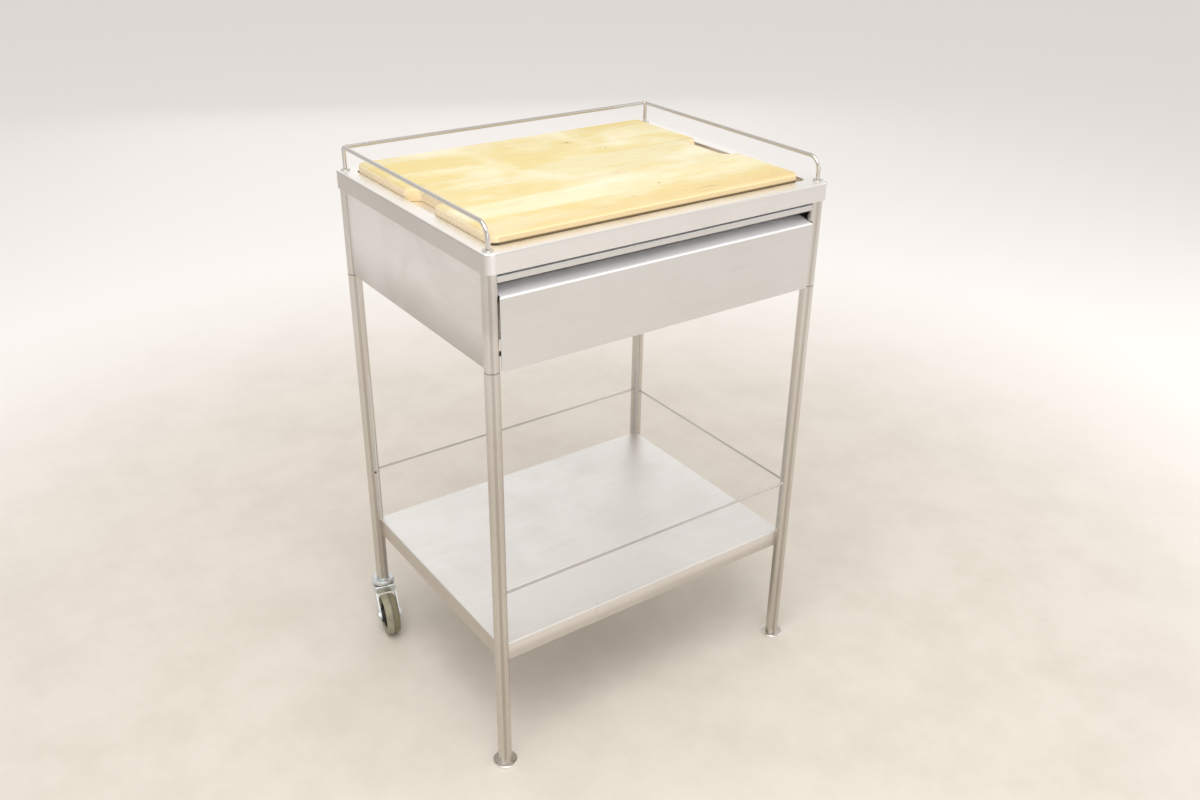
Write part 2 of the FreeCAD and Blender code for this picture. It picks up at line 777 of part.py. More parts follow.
def axle_nut():
    base = vec(fork_outside, -caster_trail, axle_height)
    return hexagon(axle_head_flats, axle_nut_height, base, X_AXIS).cut(
        rod(axle_radius, axle_nut_height, base, X_AXIS))


def axle_sleeve():
    """The tube that spaces the fork's cheeks and that the wheel turns on."""
    base = vec(-sleeve_half, -caster_trail, axle_height)
    return rod(sleeve_radius, 2 * sleeve_half, base, X_AXIS).cut(
        rod(axle_radius + running_clearance, 2 * sleeve_half, base, X_AXIS))


def on_axle(outline_edges):
    """Turn a closed outline in the (x, z) plane, drawn about the X axis, and lift it to the axle."""
    solid = Part.Face(Part.Wire(outline_edges)).revolve(ORIGIN, X_AXIS, 360)
    solid.translate(vec(0, -caster_trail, axle_height))
    return solid


def wheel_core():
    """The moulded centre: a hub, a web and a rim that carries the tyre."""
    bore = sleeve_radius + running_clearance
    hub_half = sleeve_half - hub_end_gap
    rim_inside = core_radius - core_rim
    outline = [(-hub_half, bore), (-hub_half, hub_radius), (-core_web / 2, hub_radius),
               (-core_web / 2, rim_inside), (-core_width / 2, rim_inside), (-core_width / 2, core_radius),
               (core_width / 2, core_radius), (core_width / 2, rim_inside), (core_web / 2, rim_inside),
               (core_web / 2, hub_radius), (hub_half, hub_radius), (hub_half, bore)]
    points = [vec(w, 0, r) for w, r in outline]
    return on_axle(Part.makePolygon(points + points[:1]).Edges)


def wheel_tyre():
    """The rubber tyre: straight sides, round shoulders and a gently crowned tread."""
    half = tyre_width / 2
    tread_half = half - tyre_shoulder
    tread_edge = wheel_radius - tyre_crown / 2
    shoulder_low = tread_edge - tyre_shoulder
    lean = tyre_shoulder * (1 - math.sqrt(0.5))
    corner_points = [vec(-core_width / 2, 0, core_radius), vec(-half, 0, core_radius + tyre_shoulder),
                     vec(-half, 0, shoulder_low)]
    mirror_points = [vec(-p.x, 0, p.z) for p in reversed(corner_points)]
    left_edge, right_edge = vec(-tread_half, 0, tread_edge), vec(tread_half, 0, tread_edge)
    edges = [Part.makeLine(p, q) for p, q in zip(corner_points, corner_points[1:])]
    edges.append(Part.Arc(corner_points[-1], vec(-half + lean, 0, tread_edge - lean), left_edge).toShape())
    edges.append(Part.Arc(left_edge, vec(0, 0, wheel_radius), right_edge).toShape())
    edges.append(Part.Arc(right_edge, vec(half - lean, 0, tread_edge - lean), mirror_points[0]).toShape())
    edges += [Part.makeLine(p, q) for p, q in zip(mirror_points, mirror_points[1:])]
    edges.append(Part.makeLine(mirror_points[-1], corner_points[0]))
    return on_axle(edges)


def casters():
    """Both casters, piece by piece."""
    pieces = {"caster_stem": caster_stem(), "caster_housing": caster_housing(), "caster_plug": caster_plug(),
              "caster_race": caster_race(), "caster_fork": caster_fork(), "axle_bolt": axle_bolt(),
              "axle_nut": axle_nut(), "axle_sleeve": axle_sleeve(), "wheel_core": wheel_core(),
              "wheel_tyre": wheel_tyre()}
    made = {}
    for suffix, side in (("left", LEFT), ("right", RIGHT)):
        for name, shape in pieces.items():
            placed = shape.copy()
            placed.Placement = caster_place(side).multiply(placed.Placement)
            made[name + "_" + suffix] = placed
    return made


# ---------------------------------------------------------------------------------------------
# The whole cart
# ---------------------------------------------------------------------------------------------
def build():
    nodes = {
        "top_plate": top_plate(),
        "side_panel_left": side_panel(LEFT),
        "side_panel_right": side_panel(RIGHT),
        "back_panel": back_panel(),
        "front_rail": front_rail(),
        "leg_joint_plugs": leg_joint_plugs(),
        "post_caps": post_caps(),
        "lower_shelf": lower_shelf(),
        "guard_rail": guard_rail(),
        "guard_washers": guard_washers(),
        "runner_left": runner(LEFT),
        "runner_right": runner(RIGHT),
        "drawer_buffers": drawer_buffers(),
        "drawer_front": drawer_front(),
        "drawer_tray": drawer_tray(),
        "drawer_glide_left": mirrored_x(drawer_glide()),
        "drawer_glide_right": drawer_glide(),
        "work_board": work_board(),
    }
    for group in (corner_posts(), legs(), shelf_rods(), guard_posts(), front_feet(), casters()):
        nodes.update(group)
    return nodes


os.makedirs("parts", exist_ok=True)
for node_name, node_shape in build().items():
    save(node_name, node_shape)
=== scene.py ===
# %% [markdown]
# # An instrument cart in satin steel, with a wooden board
#
# The cart is a welded frame of round tube with folded sheet metal round it. The metal shapes come
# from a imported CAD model, so this lesson adds what that model leaves out: the finishes, the worn
# wooden board, the welds and the rubber tyres. Everything is in metres, with +X to the right along
# the drawer, +Y to the back and +Z up.

# %% Load the frame
import json
import math

import bpy
import numpy as np
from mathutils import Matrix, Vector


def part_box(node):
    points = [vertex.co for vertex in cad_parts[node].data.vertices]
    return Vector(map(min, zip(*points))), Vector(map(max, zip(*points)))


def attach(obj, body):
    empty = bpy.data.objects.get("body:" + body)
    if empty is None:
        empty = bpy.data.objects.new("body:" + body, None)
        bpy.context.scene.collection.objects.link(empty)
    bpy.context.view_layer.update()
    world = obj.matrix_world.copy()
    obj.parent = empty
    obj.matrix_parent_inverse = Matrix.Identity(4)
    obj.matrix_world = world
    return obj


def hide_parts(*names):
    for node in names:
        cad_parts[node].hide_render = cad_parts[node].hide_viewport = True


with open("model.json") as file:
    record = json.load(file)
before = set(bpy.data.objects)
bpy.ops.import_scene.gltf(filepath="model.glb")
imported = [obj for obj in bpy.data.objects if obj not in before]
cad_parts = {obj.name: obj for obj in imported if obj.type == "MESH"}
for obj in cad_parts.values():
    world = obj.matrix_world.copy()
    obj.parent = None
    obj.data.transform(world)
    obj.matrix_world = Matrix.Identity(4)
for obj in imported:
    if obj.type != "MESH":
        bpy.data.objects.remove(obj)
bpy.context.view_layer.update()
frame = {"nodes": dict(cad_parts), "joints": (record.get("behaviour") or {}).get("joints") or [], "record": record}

nodes = frame["nodes"]
slot_names = {part["node"]: part["material_slot"] for part in frame["record"]["subparts"]}

# %% [markdown]
# ## The camera
#
# The cart is seen from its front left corner by someone standing a little way off, who looks down
# on it. A slightly wide lens from about two metres makes the legs converge a little. The angles are
# Blender's own: a tilt up from straight down, a small roll, and a turn about the vertical.

# %% Place the camera
camera_place = (-0.948, -1.3916, 1.341)
camera_angles = (62.73, -0.74, -35.08)
camera_lens = 33.84

camera = bpy.data.objects.new("camera", bpy.data.cameras.new("camera"))
camera.data.lens = camera_lens
camera.data.sensor_width = 36.0
camera.location = camera_place
camera.rotation_euler = [math.radians(a) for a in camera_angles]
bpy.context.scene.collection.objects.link(camera)
bpy.context.scene.camera = camera
print("camera", round(math.dist(camera_place, (0, 0, 0.45)), 2), "m from the cart's middle")

# %% [markdown]
# ## Shared helpers for shader nodes
#
# Every finish below is a small network of nodes. A few helpers keep those networks short: they add
# a node, wire a socket, do a sum, stretch a range or mix two colours. A value that is already a
# socket is wired, and a plain number is typed in.

# %% Add, wire and compute
def put(socket, value):
    """Wire a socket's value in, or type a plain value in."""
    if isinstance(value, bpy.types.NodeSocket):
        socket.id_data.links.new(value, socket)
    else:
        socket.default_value = value


def add(tree, kind, settings=None, **values):
    """Add a node. settings are its options, and values are its inputs by name."""
    node = tree.nodes.new(kind)
    for name, value in (settings or {}).items():
        setattr(node, name, value)
    for name, value in values.items():
        put(node.inputs[name.replace("_", " ")], value)
    return node


def compute(tree, operation, first, second=0.0, third=0.0, clamp=False):
    """One sum on numbers or sockets."""
    node = add(tree, "ShaderNodeMath", {"operation": operation, "use_clamp": clamp})
    for socket, value in zip(node.inputs, (first, second, third)):
        put(socket, value)
    return node.outputs[0]


def times(tree, first, second):
    """Two numbers or sockets multiplied."""
    return compute(tree, "MULTIPLY", first, second)


def remap(tree, value, low, high, to_low=0.0, to_high=1.0):
    """Stretch the range low to high over another range, smoothly and with its ends held."""
    node = add(tree, "ShaderNodeMapRange", {"interpolation_type": "SMOOTHSTEP"}, Value=value)
    for name, number in (("From Min", low), ("From Max", high), ("To Min", to_low), ("To Max", to_high)):
        put(node.inputs[name], number)
    return node.outputs[0]


def blend_colours(tree, amount, first, second):
    """Mix two colours by an amount from 0 to 1."""
    node = tree.nodes.new("ShaderNodeMix")
    node.data_type = "RGBA"
    put(node.inputs[0], amount)
    for socket, colour in zip((node.inputs[6], node.inputs[7]), (first, second)):
        put(socket, colour if isinstance(colour, bpy.types.NodeSocket) else (*colour, 1.0))
    return node.outputs[2]


def distance(tree, x, y):
    """How far a point is from the vertical through the origin: the root of x squared plus y squared."""
    squares = compute(tree, "MULTIPLY_ADD", x, x, times(tree, y, y))
    return compute(tree, "SQRT", squares)


def separate(tree, vector):
    """The x, y and z of a vector."""
    return add(tree, "ShaderNodeSeparateXYZ", Vector=vector).outputs


print("helpers ready")

# %% [markdown]
# ## Effects that several finishes share
#
# Brushed lines, smudges from hands and cloths, hair-fine scratches, small specks and settled dust
# turn up on almost every piece of a used steel cart. Each is a node group with named inputs, built
# once. A group gives back only a mask or a height, and each material decides what to do with it.

# %% Start a node group
def start_group(name, inputs, outputs):
    """An empty group with its sockets. inputs are (name, type, value), outputs are names."""
    tree = bpy.data.node_groups.new(name, "ShaderNodeTree")
    for label, kind, value in inputs:
        socket = tree.interface.new_socket(label, in_out="INPUT", socket_type="NodeSocket" + kind)
        socket.default_value = value
    for label in outputs:
        tree.interface.new_socket(label, in_out="OUTPUT", socket_type="NodeSocketFloat")
    return tree, tree.nodes.new("NodeGroupInput").outputs, tree.nodes.new("NodeGroupOutput").inputs


def noise(tree, vector, scale, detail=2.0, roughness=0.5, distortion=0.0):
    """Soft noise between 0 and 1."""
    return add(tree, "ShaderNodeTexNoise", Vector=vector, Scale=scale, Detail=detail,
               Roughness=roughness, Distortion=distortion).outputs["Fac"]


shared = {}
print("groups can be started")

# %% [markdown]
# Brushed lines come from a belt or a pad that runs one way over the sheet. Noise that is stretched about
# a hundred times longer in one direction than in the others looks like that. Two layers, one finer than
# the other, break up the regularity that a single layer would have.

# %% Brushed lines
def make_brushed_lines():
    """Lines: 0.6 of a coarse stretched noise plus 0.4 of a fine one, spread about the middle."""
    tree, given, result = start_group(
        "brushed_lines",
        [("Vector", "Vector", (0, 0, 0)), ("Stretch", "Vector", (4, 400, 400)), ("Contrast", "Float", 1.6)],
        ["Lines"])
    stretched = add(tree, "ShaderNodeVectorMath", {"operation": "MULTIPLY"})
    put(stretched.inputs[0], given["Vector"])
    put(stretched.inputs[1], given["Stretch"])
    coarse = noise(tree, stretched.outputs[0], 1.0, 3.0, 0.65)
    fine = noise(tree, stretched.outputs[0], 3.3, 2.0)
    both = compute(tree, "MULTIPLY_ADD", coarse, 0.6, times(tree, fine, 0.4))
    centred = compute(tree, "SUBTRACT", both, 0.5)
    put(result["Lines"], compute(tree, "MULTIPLY_ADD", centred, given["Contrast"], 0.5, clamp=True))
    return tree


shared["brushed_lines"] = make_brushed_lines()
print("brushed lines use", [item.name for item in shared["brushed_lines"].interface.items_tree])

# %% [markdown]
# Hands and cloths leave soft patches, and years of use leave hair-fine scratches that wander and
# break off. Both start from noise: smudges keep only its high parts, and scratches follow the
# borders between large warped cells.

# %% Smudges and scratches
def make_smudges():
    """Smudges: a warped noise, kept only above a level, so that they come in patches."""
    tree, given, result = start_group(
        "smudges",
        [("Vector", "Vector", (0, 0, 0)), ("Scale", "Float", 6.0), ("Amount", "Float", 1.0)], ["Mask"])
    patches = noise(tree, given["Vector"], given["Scale"], 5.0, 0.6, 0.7)
    put(result["Mask"], times(tree, remap(tree, patches, 0.44, 0.72), given["Amount"]))
    return tree


def make_scratches():
    """Scratches: the thin borders of large warped cells, broken by a second noise."""
    tree, given, result = start_group(
        "scratches",
        [("Vector", "Vector", (0, 0, 0)), ("Scale", "Float", 9.0), ("Width", "Float", 0.006),
         ("Amount", "Float", 1.0)], ["Mask"])
    warp = add(tree, "ShaderNodeTexNoise", Vector=given["Vector"], Scale=3.0, Detail=1.0).outputs["Color"]
    moved = add(tree, "ShaderNodeVectorMath", {"operation": "MULTIPLY_ADD"})
    put(moved.inputs[0], warp)
    put(moved.inputs[1], (0.35, 0.35, 0.35))
    put(moved.inputs[2], given["Vector"])
    cells = add(tree, "ShaderNodeTexVoronoi", {"feature": "DISTANCE_TO_EDGE"}, Vector=moved.outputs[0],
                Scale=given["Scale"]).outputs["Distance"]
    thin = compute(tree, "SUBTRACT", 1.0, compute(tree, "DIVIDE", cells, given["Width"]), clamp=True)
    broken = remap(tree, noise(tree, given["Vector"], 14.0, 2.0), 0.5, 0.62)
    line = times(tree, thin, broken)
    put(result["Mask"], times(tree, line, given["Amount"]))
    return tree


for group in (make_smudges(), make_scratches()):
    shared[group.name] = group
print("shared so far:", sorted(shared))

# %% [markdown]
# Specks are small dots that lie far apart. Dust settles on what looks up, so its mask reads the
# direction of the surface.

# %% Specks and dust
def make_specks():
    """Specks: small round dots, one in only a few of the cells of a random pattern."""
    tree, given, result = start_group(
        "specks",
        [("Vector", "Vector", (0, 0, 0)), ("Scale", "Float", 60.0), ("Size", "Float", 0.12),
         ("Rarity", "Float", 0.8)], ["Mask"])
    cell = add(tree, "ShaderNodeTexVoronoi", Vector=given["Vector"], Scale=given["Scale"])
    dot = compute(tree, "LESS_THAN", cell.outputs["Distance"], given["Size"])
    chosen = compute(tree, "GREATER_THAN", separate(tree, cell.outputs["Color"])[0], given["Rarity"])
    put(result["Mask"], times(tree, dot, chosen))
    return tree


def make_settled_dust():
    """Dust: most on faces that look up, thinned by a patchy noise."""
    tree, given, result = start_group(
        "settled_dust",
        [("Vector", "Vector", (0, 0, 0)), ("Scale", "Float", 12.0), ("Amount", "Float", 1.0)], ["Mask"])
    up = separate(tree, tree.nodes.new("ShaderNodeNewGeometry").outputs["Normal"])[2]
    upward = remap(tree, up, 0.6, 1.0)
    patchy = remap(tree, noise(tree, given["Vector"], given["Scale"], 6.0, 0.7), 0.35, 0.75)
    settled = times(tree, upward, patchy)
    put(result["Mask"], times(tree, settled, given["Amount"]))
    return tree


for group in (make_specks(), make_settled_dust()):
    shared[group.name] = group


def use_group(tree, name, **values):
    """Place a shared group in a material with its own values, and give back its first output."""
    node = tree.nodes.new("ShaderNodeGroup")
    node.node_tree = shared[name]
    for label, value in values.items():
        put(node.inputs[label], value)
    return node.outputs[0]


print("shared effects:", sorted(shared))

# %% [markdown]
# ## Start a material
#
# Every material begins with one Principled shader and the piece's own Object coordinates, which stay
# with the piece when it moves. More helpers fill in the shader, raise the surface by a height, tell
# which way the surface looks and lay one more tone over a colour.

# %% Material, bump and direction
def start_material(name):
    """A material with one Principled shader, and the piece's own Object coordinates."""
    material = bpy.data.materials.new(name)
    material.use_nodes = True
    tree = material.node_tree
    shader = tree.nodes["Principled BSDF"]
    place = tree.nodes.new("ShaderNodeTexCoord").outputs["Object"]
    return material, tree, shader, place


def bump(tree, shader, height, depth):
    """Raise the surface by a height map. depth is what a height of 1 stands for, in metres."""
    node = add(tree, "ShaderNodeBump", Height=height, Distance=depth)
    put(shader.inputs["Normal"], node.outputs[0])


def dress(shader, colour, roughness, metallic=0.0):
    """Give a shader its colour, its roughness and how much of it is metal."""
    for name, value in (("Base Color", colour), ("Roughness", roughness), ("Metallic", metallic)):
        put(shader.inputs[name], value)


def facing(tree, axis):
    """How far the surface looks along X, Y or Z (0, 1 or 2), from -1 to 1."""
    return separate(tree, tree.nodes.new("ShaderNodeNewGeometry").outputs["Normal"])[axis]


def tint(tree, shade, mask, strength, colour):
    """Blend a colour in by a mask times a strength."""
    return blend_colours(tree, times(tree, mask, strength), shade, colour)


print("materials can be started")

# %% [markdown]
# ## Steel finishes
#
# Satin stainless is a metal with a fairly rough surface and fine lines that all run one way. Its
# colour is slightly warm. The lines change the roughness a little and bump the surface by a few
# microns, which is enough to blur a reflection across them. One function makes every steel on the
# cart. It lays lines, smudges, specks and dust over the colour in turn, and then any marks that one
# piece has of its own.

# %% Steel
line_depth = 4e-6
speck_colour = (0.2, 0.17, 0.13)
dust_colour = (0.7, 0.67, 0.62)


def make_steel(name, colour, roughness, stretch, dark=(0.42, 0.39, 0.35), smudge=0.35, scratch=0.5,
               dust=0.3, marks=None, rough_top=0.0):
    """Brushed steel, with its lines along the axis where stretch is smallest.

    stretch is how many noise cells a metre holds along X, Y and Z. marks is a function that adds a
    piece's own marks to the colour, and rough_top is how much rougher the faces are that look up.
    """
    material, tree, shader, place = start_material(name)
    lines = use_group(tree, "brushed_lines", Vector=place, Stretch=stretch)
    smudges = use_group(tree, "smudges", Vector=place, Scale=5.0, Amount=smudge)
    hairs = use_group(tree, "scratches", Vector=place, Scale=7.0, Width=0.005, Amount=scratch)
    dusty = use_group(tree, "settled_dust", Vector=place, Scale=9.0, Amount=dust)
    specks = use_group(tree, "specks", Vector=place, Scale=26.0, Size=0.045, Rarity=0.9)
    shade = blend_colours(tree, times(tree, lines, 0.22), colour, dark)
    shade = tint(tree, shade, smudges, 0.3, dark)
    shade = tint(tree, shade, specks, 0.5, speck_colour)
    shade = tint(tree, shade, dusty, 0.3, dust_colour)
    if marks:
        shade = marks(tree, place, shade)
    shine = compute(tree, "MULTIPLY_ADD", lines, 0.16, roughness - 0.08)
    shine = compute(tree, "MULTIPLY_ADD", smudges, 0.12, shine)
    shine = compute(tree, "MULTIPLY_ADD", dusty, 0.15, shine)
    shine = compute(tree, "MULTIPLY_ADD", remap(tree, facing(tree, 2), 0.3, 0.9), rough_top, shine)
    dress(shader, shade, shine, compute(tree, "MULTIPLY_ADD", dusty, -0.4, 1.0))
    bump(tree, shader, compute(tree, "MULTIPLY_ADD", hairs, -2.0, lines), line_depth)
    return material


sheet_colour = (0.82, 0.80, 0.775)
drawer_colour = (0.725, 0.71, 0.69)
shelf_colour = (0.90, 0.885, 0.865)
tube_colour = (0.655, 0.625, 0.58)
rod_colour = (0.66, 0.635, 0.60)
sheet_along_x = make_steel("satin_sheet_along_x", sheet_colour, 0.36, (5, 420, 420))
drawn_rod = make_steel("bright_drawn_rod", rod_colour, 0.22, (40, 40, 40), smudge=0.2, scratch=0.0,
                       dust=0.1)
plain_steel = make_steel("plain_turned_steel", (0.6, 0.59, 0.57), 0.45, (200, 200, 200), scratch=0.0)
print("steels:", [m.name for m in bpy.data.materials])

# %% [markdown]
# ## Painted light and shade that follow the shape
#
# Some marks belong to one part of a sheet. The flat top is brightened as painted light, and the skirts
# that look left and right are darkened as painted shade. The side panels are darkened towards their
# lower edge as painted shade, and the drawer's finger lip is brightened as painted light. Each mark is
# a mask on direction, height or distance, and it only tints the colour.
# Every function of marks takes the tree, the Object coordinates and the colour so far.

# %% Top, panels and drawer
seam_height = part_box("leg_front_left")[1].z
foot_shade_height = 0.08


def painted_top_light_and_side_shade(tree, place, shade):
    """Painted light: brighten what looks straight up. Painted shade: darken what looks along X in either
    direction.
    """
    sideways = remap(tree, compute(tree, "ABSOLUTE", facing(tree, 0)), 0.6, 0.95)
    # Painted light on the flat top, and painted shade on the skirts that look left and right.
    shade = tint(tree, shade, remap(tree, facing(tree, 2), 0.7, 0.98), 0.9, (0.95, 0.935, 0.91))
    return tint(tree, shade, sideways, 0.72, (0.52, 0.485, 0.44))


def painted_shade_at_foot(tree, place, shade):
    """Painted shade: darken the lowest eight centimetres of a panel, unevenly."""
    height = separate(tree, place)[2]
    low = remap(tree, height, seam_height - 0.01, seam_height + foot_shade_height, 1.0, 0.0)
    patchy = remap(tree, noise(tree, place, 5.0, 3.0), 0.3, 0.6, 0.45, 1.0)
    # Painted shade, darkest at the panel's lower edge.
    return tint(tree, shade, times(tree, low, patchy), 0.85, (0.47, 0.44, 0.41))


def painted_light_on_lip(tree, place, shade):
    """Painted light: brighten the finger lip, which is what looks up on a drawer's front."""
    # Painted light on the finger lip.
    return tint(tree, shade, remap(tree, facing(tree, 2), 0.1, 0.5), 1.0, (0.97, 0.97, 0.985))


top_sheet = make_steel("satin_top_sheet", sheet_colour, 0.34, (5, 420, 420), marks=painted_top_light_and_side_shade)
side_sheet = make_steel("satin_side_sheet", sheet_colour, 0.36, (420, 5, 420), smudge=0.5,
                        marks=painted_shade_at_foot)
drawer_sheet = make_steel("satin_drawer_sheet", drawer_colour, 0.48, (5, 420, 420), smudge=0.25, dust=0.1,
                          marks=painted_light_on_lip, rough_top=0.3)
print("panels are veiled from", round(seam_height, 3), "to", round(seam_height + foot_shade_height, 3), "m")

# %% [markdown]
# The shelf is a paler sheet with faint rings from bottles and dark splashes on its front fold. Its folds
# that look left and front are darkened as painted shade, most towards the front fold's foot. A ring is
# where the distance from a scattered point comes close to one set value, and a second noise breaks it up.

# %% Shelf
shelf_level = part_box("lower_shelf")[1].z
fold_bend, fold_foot = 0.008, 0.024
ring_cells_a_metre, ring_size = 9.0, 0.13


def shelf_marks(tree, place, shade):
    """Rings, broad duller patches, painted shade on the folds that look left and front, and splashes."""
    middles = add(tree, "ShaderNodeTexVoronoi", Vector=place, Scale=ring_cells_a_metre)
    off_ring = compute(tree, "ABSOLUTE", compute(tree, "SUBTRACT", middles.outputs["Distance"], ring_size))
    ring = remap(tree, off_ring, 0.005, 0.02, 1.0, 0.0)
    partly = remap(tree, noise(tree, place, 24.0, 3.0), 0.46, 0.6)
    shade = tint(tree, shade, times(tree, ring, partly), 0.3, (0.52, 0.50, 0.47))
    broad = remap(tree, noise(tree, place, 3.2, 3.0, 0.5, 0.4), 0.35, 0.65)
    shade = tint(tree, shade, broad, 0.2, (0.70, 0.68, 0.655))
    left_fold_shade = remap(tree, facing(tree, 0), -0.95, -0.6, 1.0, 0.0)
    # Painted shade on the fold that looks left.
    shade = tint(tree, shade, left_fold_shade, 0.85, (0.53, 0.485, 0.425))
    fronts = remap(tree, facing(tree, 1), -0.95, -0.6, 1.0, 0.0)
    height = separate(tree, place)[2]
    low = remap(tree, height, shelf_level - fold_foot, shelf_level - fold_bend, 1.0, 0.25)
    # Painted shade on the front fold, darkest towards its foot.
    shade = tint(tree, shade, times(tree, fronts, low), 0.6, (0.45, 0.41, 0.36))
    splashes = use_group(tree, "specks", Vector=place, Scale=48.0, Size=0.16, Rarity=0.93)
    return tint(tree, shade, times(tree, splashes, fronts), 0.8, (0.10, 0.085, 0.07))


shelf_sheet = make_steel("satin_shelf_sheet", shelf_colour, 0.38, (5, 300, 300), scratch=1.0,
                         dust=0.5, marks=shelf_marks)
print("rings on the shelf: up to", round(2000 * ring_size / ring_cells_a_metre), "mm across")

# %% [markdown]
# ## The frame tubes
#
# Each corner is an upper tube and a leg, joined on a hidden plug level with the apron's lower edge.
# The joint shows as a hairline where grime has gathered, and it is drawn by height: a narrow dark
# band in the tube's colour. The tube is ground along its length, so its lines run along Z, and a
# painted dark reflection runs down the strip of each tube that looks to the front and a little left.

# %% Tube with its joint line
seam_half_width = 0.0005
# The way the painted dark reflection looks: to the front, and a little to the left.
painted_reflection_way = (-0.42, -0.91, 0.0)


def joint_line_and_painted_reflection(tree, place, shade):
    """Darken the joint's height, and paint a dark reflection on the strip of the tube that looks one way."""
    away = compute(tree, "ABSOLUTE", compute(tree, "SUBTRACT", separate(tree, place)[2], seam_height))
    line = remap(tree, away, seam_half_width, seam_half_width * 2.4, 0.6, 0.0)
    looks = tree.nodes.new("ShaderNodeNewGeometry").outputs["Normal"]
    aligned = add(tree, "ShaderNodeVectorMath", {"operation": "DOT_PRODUCT"})
    put(aligned.inputs[0], looks)
    put(aligned.inputs[1], painted_reflection_way)
    painted_reflection = remap(tree, aligned.outputs["Value"], 0.955, 0.998)
    # Painted dark reflection down one strip of the tube.
    shade = tint(tree, shade, painted_reflection, 0.42, (0.22, 0.19, 0.155))
    return tint(tree, shade, line, 1.0, (0.05, 0.04, 0.03))


ground_tube = make_steel("ground_tube", tube_colour, 0.26, (330, 330, 6), dark=(0.30, 0.255, 0.205),
                         smudge=0.6, scratch=0.3, dust=0.0, marks=joint_line_and_painted_reflection)
print("joint line at", round(seam_height, 4), "m")

# %% [markdown]
# ## Feet, zinc, plastic and rubber
#
# The front feet are turned: their lines are rings about the foot's own middle, and the floor has
# polished the rim. The sine of the distance from the middle rises and falls once for each ring.

# %% Turned feet
ring_radians = 6000.0
rim_share = 0.9


def make_turned_foot(name, node):
    """Rings about the foot's axis: the sine of ring_radians times the distance, about one a millimetre."""
    material, tree, shader, place = start_material(name)
    low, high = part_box(node)
    middle = (low + high) / 2
    foot_radius = (high.x - low.x) / 2
    x, y, _ = separate(tree, place)
    radius = distance(tree, compute(tree, "SUBTRACT", x, middle.x), compute(tree, "SUBTRACT", y, middle.y))
    rings = compute(tree, "SINE", times(tree, radius, ring_radians))
    rim = remap(tree, radius, foot_radius * rim_share, foot_radius * 0.97)
    grime = use_group(tree, "smudges", Vector=place, Scale=60.0, Amount=0.8)
    inner = blend_colours(tree, grime, (0.68, 0.645, 0.60), (0.36, 0.32, 0.27))
    shine = remap(tree, radius, foot_radius * 0.85, foot_radius, 0.4, 0.16)
    dress(shader, blend_colours(tree, rim, inner, (0.88, 0.86, 0.83)), shine, 1.0)
    bump(tree, shader, rings, 6e-6)
    return material


turned_feet = {node: make_turned_foot("turned_" + node, node) for node in ("foot_left", "foot_right")}
print("turned feet:", sorted(turned_feet))

# %% [markdown]
# The casters are zinc plated, which is a bluish bright metal with cloudy crystals in it. The glides,
# buffers and wheel centres are plain moulded plastic or rubber, where a fine grain and a little grime
# are enough.

# %% Zinc plate, plastic and rubber
crystals_a_metre = 420.0
pebbles_a_metre = 900.0


def make_zinc(name):
    """Bright zinc: a bluish metal whose tone follows small crystals, with grime in patches."""
    material, tree, shader, place = start_material(name)
    crystals = add(tree, "ShaderNodeTexVoronoi", Vector=place, Scale=crystals_a_metre).outputs["Color"]
    tone = separate(tree, crystals)[0]
    grime = use_group(tree, "smudges", Vector=place, Scale=38.0, Amount=0.8)
    bright = blend_colours(tree, tone, (0.66, 0.71, 0.73), (0.82, 0.86, 0.87))
    shade = tint(tree, bright, grime, 0.5, (0.30, 0.27, 0.22))
    dress(shader, shade, compute(tree, "MULTIPLY_ADD", grime, 0.25, 0.36), 1.0)
    bump(tree, shader, tone, 8e-6)
    return material


def make_plastic(name, colour, dark, roughness):
    """Moulded plastic or rubber: a fine pebbled grain and patches of grime."""
    material, tree, shader, place = start_material(name)
    pebble = noise(tree, place, pebbles_a_metre, 3.0, 0.6)
    grime = use_group(tree, "smudges", Vector=place, Scale=30.0, Amount=1.0)
    toned = blend_colours(tree, times(tree, pebble, 0.35), colour, dark)
    shine = compute(tree, "MULTIPLY_ADD", pebble, 0.2, roughness - 0.1)
    dress(shader, tint(tree, toned, grime, 0.5, dark), shine)
    bump(tree, shader, pebble, 3e-5)
    return material


zinc_plate = make_zinc("bright_zinc_plate")
white_nylon = make_plastic("white_nylon", (0.80, 0.78, 0.71), (0.55, 0.51, 0.42), 0.45)
black_rubber = make_plastic("black_rubber", (0.035, 0.034, 0.033), (0.10, 0.09, 0.08), 0.6)
wheel_plastic = make_plastic("dark_wheel_plastic", (0.022, 0.021, 0.02), (0.07, 0.06, 0.05), 0.5)
print("casters and slides:", [m.name for m in (zinc_plate, white_nylon, black_rubber, wheel_plastic)])

# %% [markdown]
# ## Give every CAD piece its finish
#
# The record names a material slot for each piece, which says what it is made of. The direction of
# the brushed lines depends on the piece: along the front for what runs left to right, and along the
# sides for the side panels and runners.

# %% Assign the finishes
slot_finish = {
    "sheet_steel": sheet_along_x, "tube_steel": ground_tube, "rod_steel": drawn_rod,
    "plain_steel": plain_steel, "zinc_plate": zinc_plate, "wheel_plastic": wheel_plastic,
    "nylon": white_nylon, "black_rubber": black_rubber,
}
piece_finish = {
    "top_plate": top_sheet, "side_panel_left": side_sheet, "side_panel_right": side_sheet,
    "runner_left": side_sheet, "runner_right": side_sheet, "lower_shelf": shelf_sheet,
    "drawer_front": drawer_sheet, "front_rail": drawer_sheet, **turned_feet,
}


def finish_piece(piece, material):
    """Put one material on the whole of a piece."""
    piece.data.materials.clear()
    piece.data.materials.append(material)


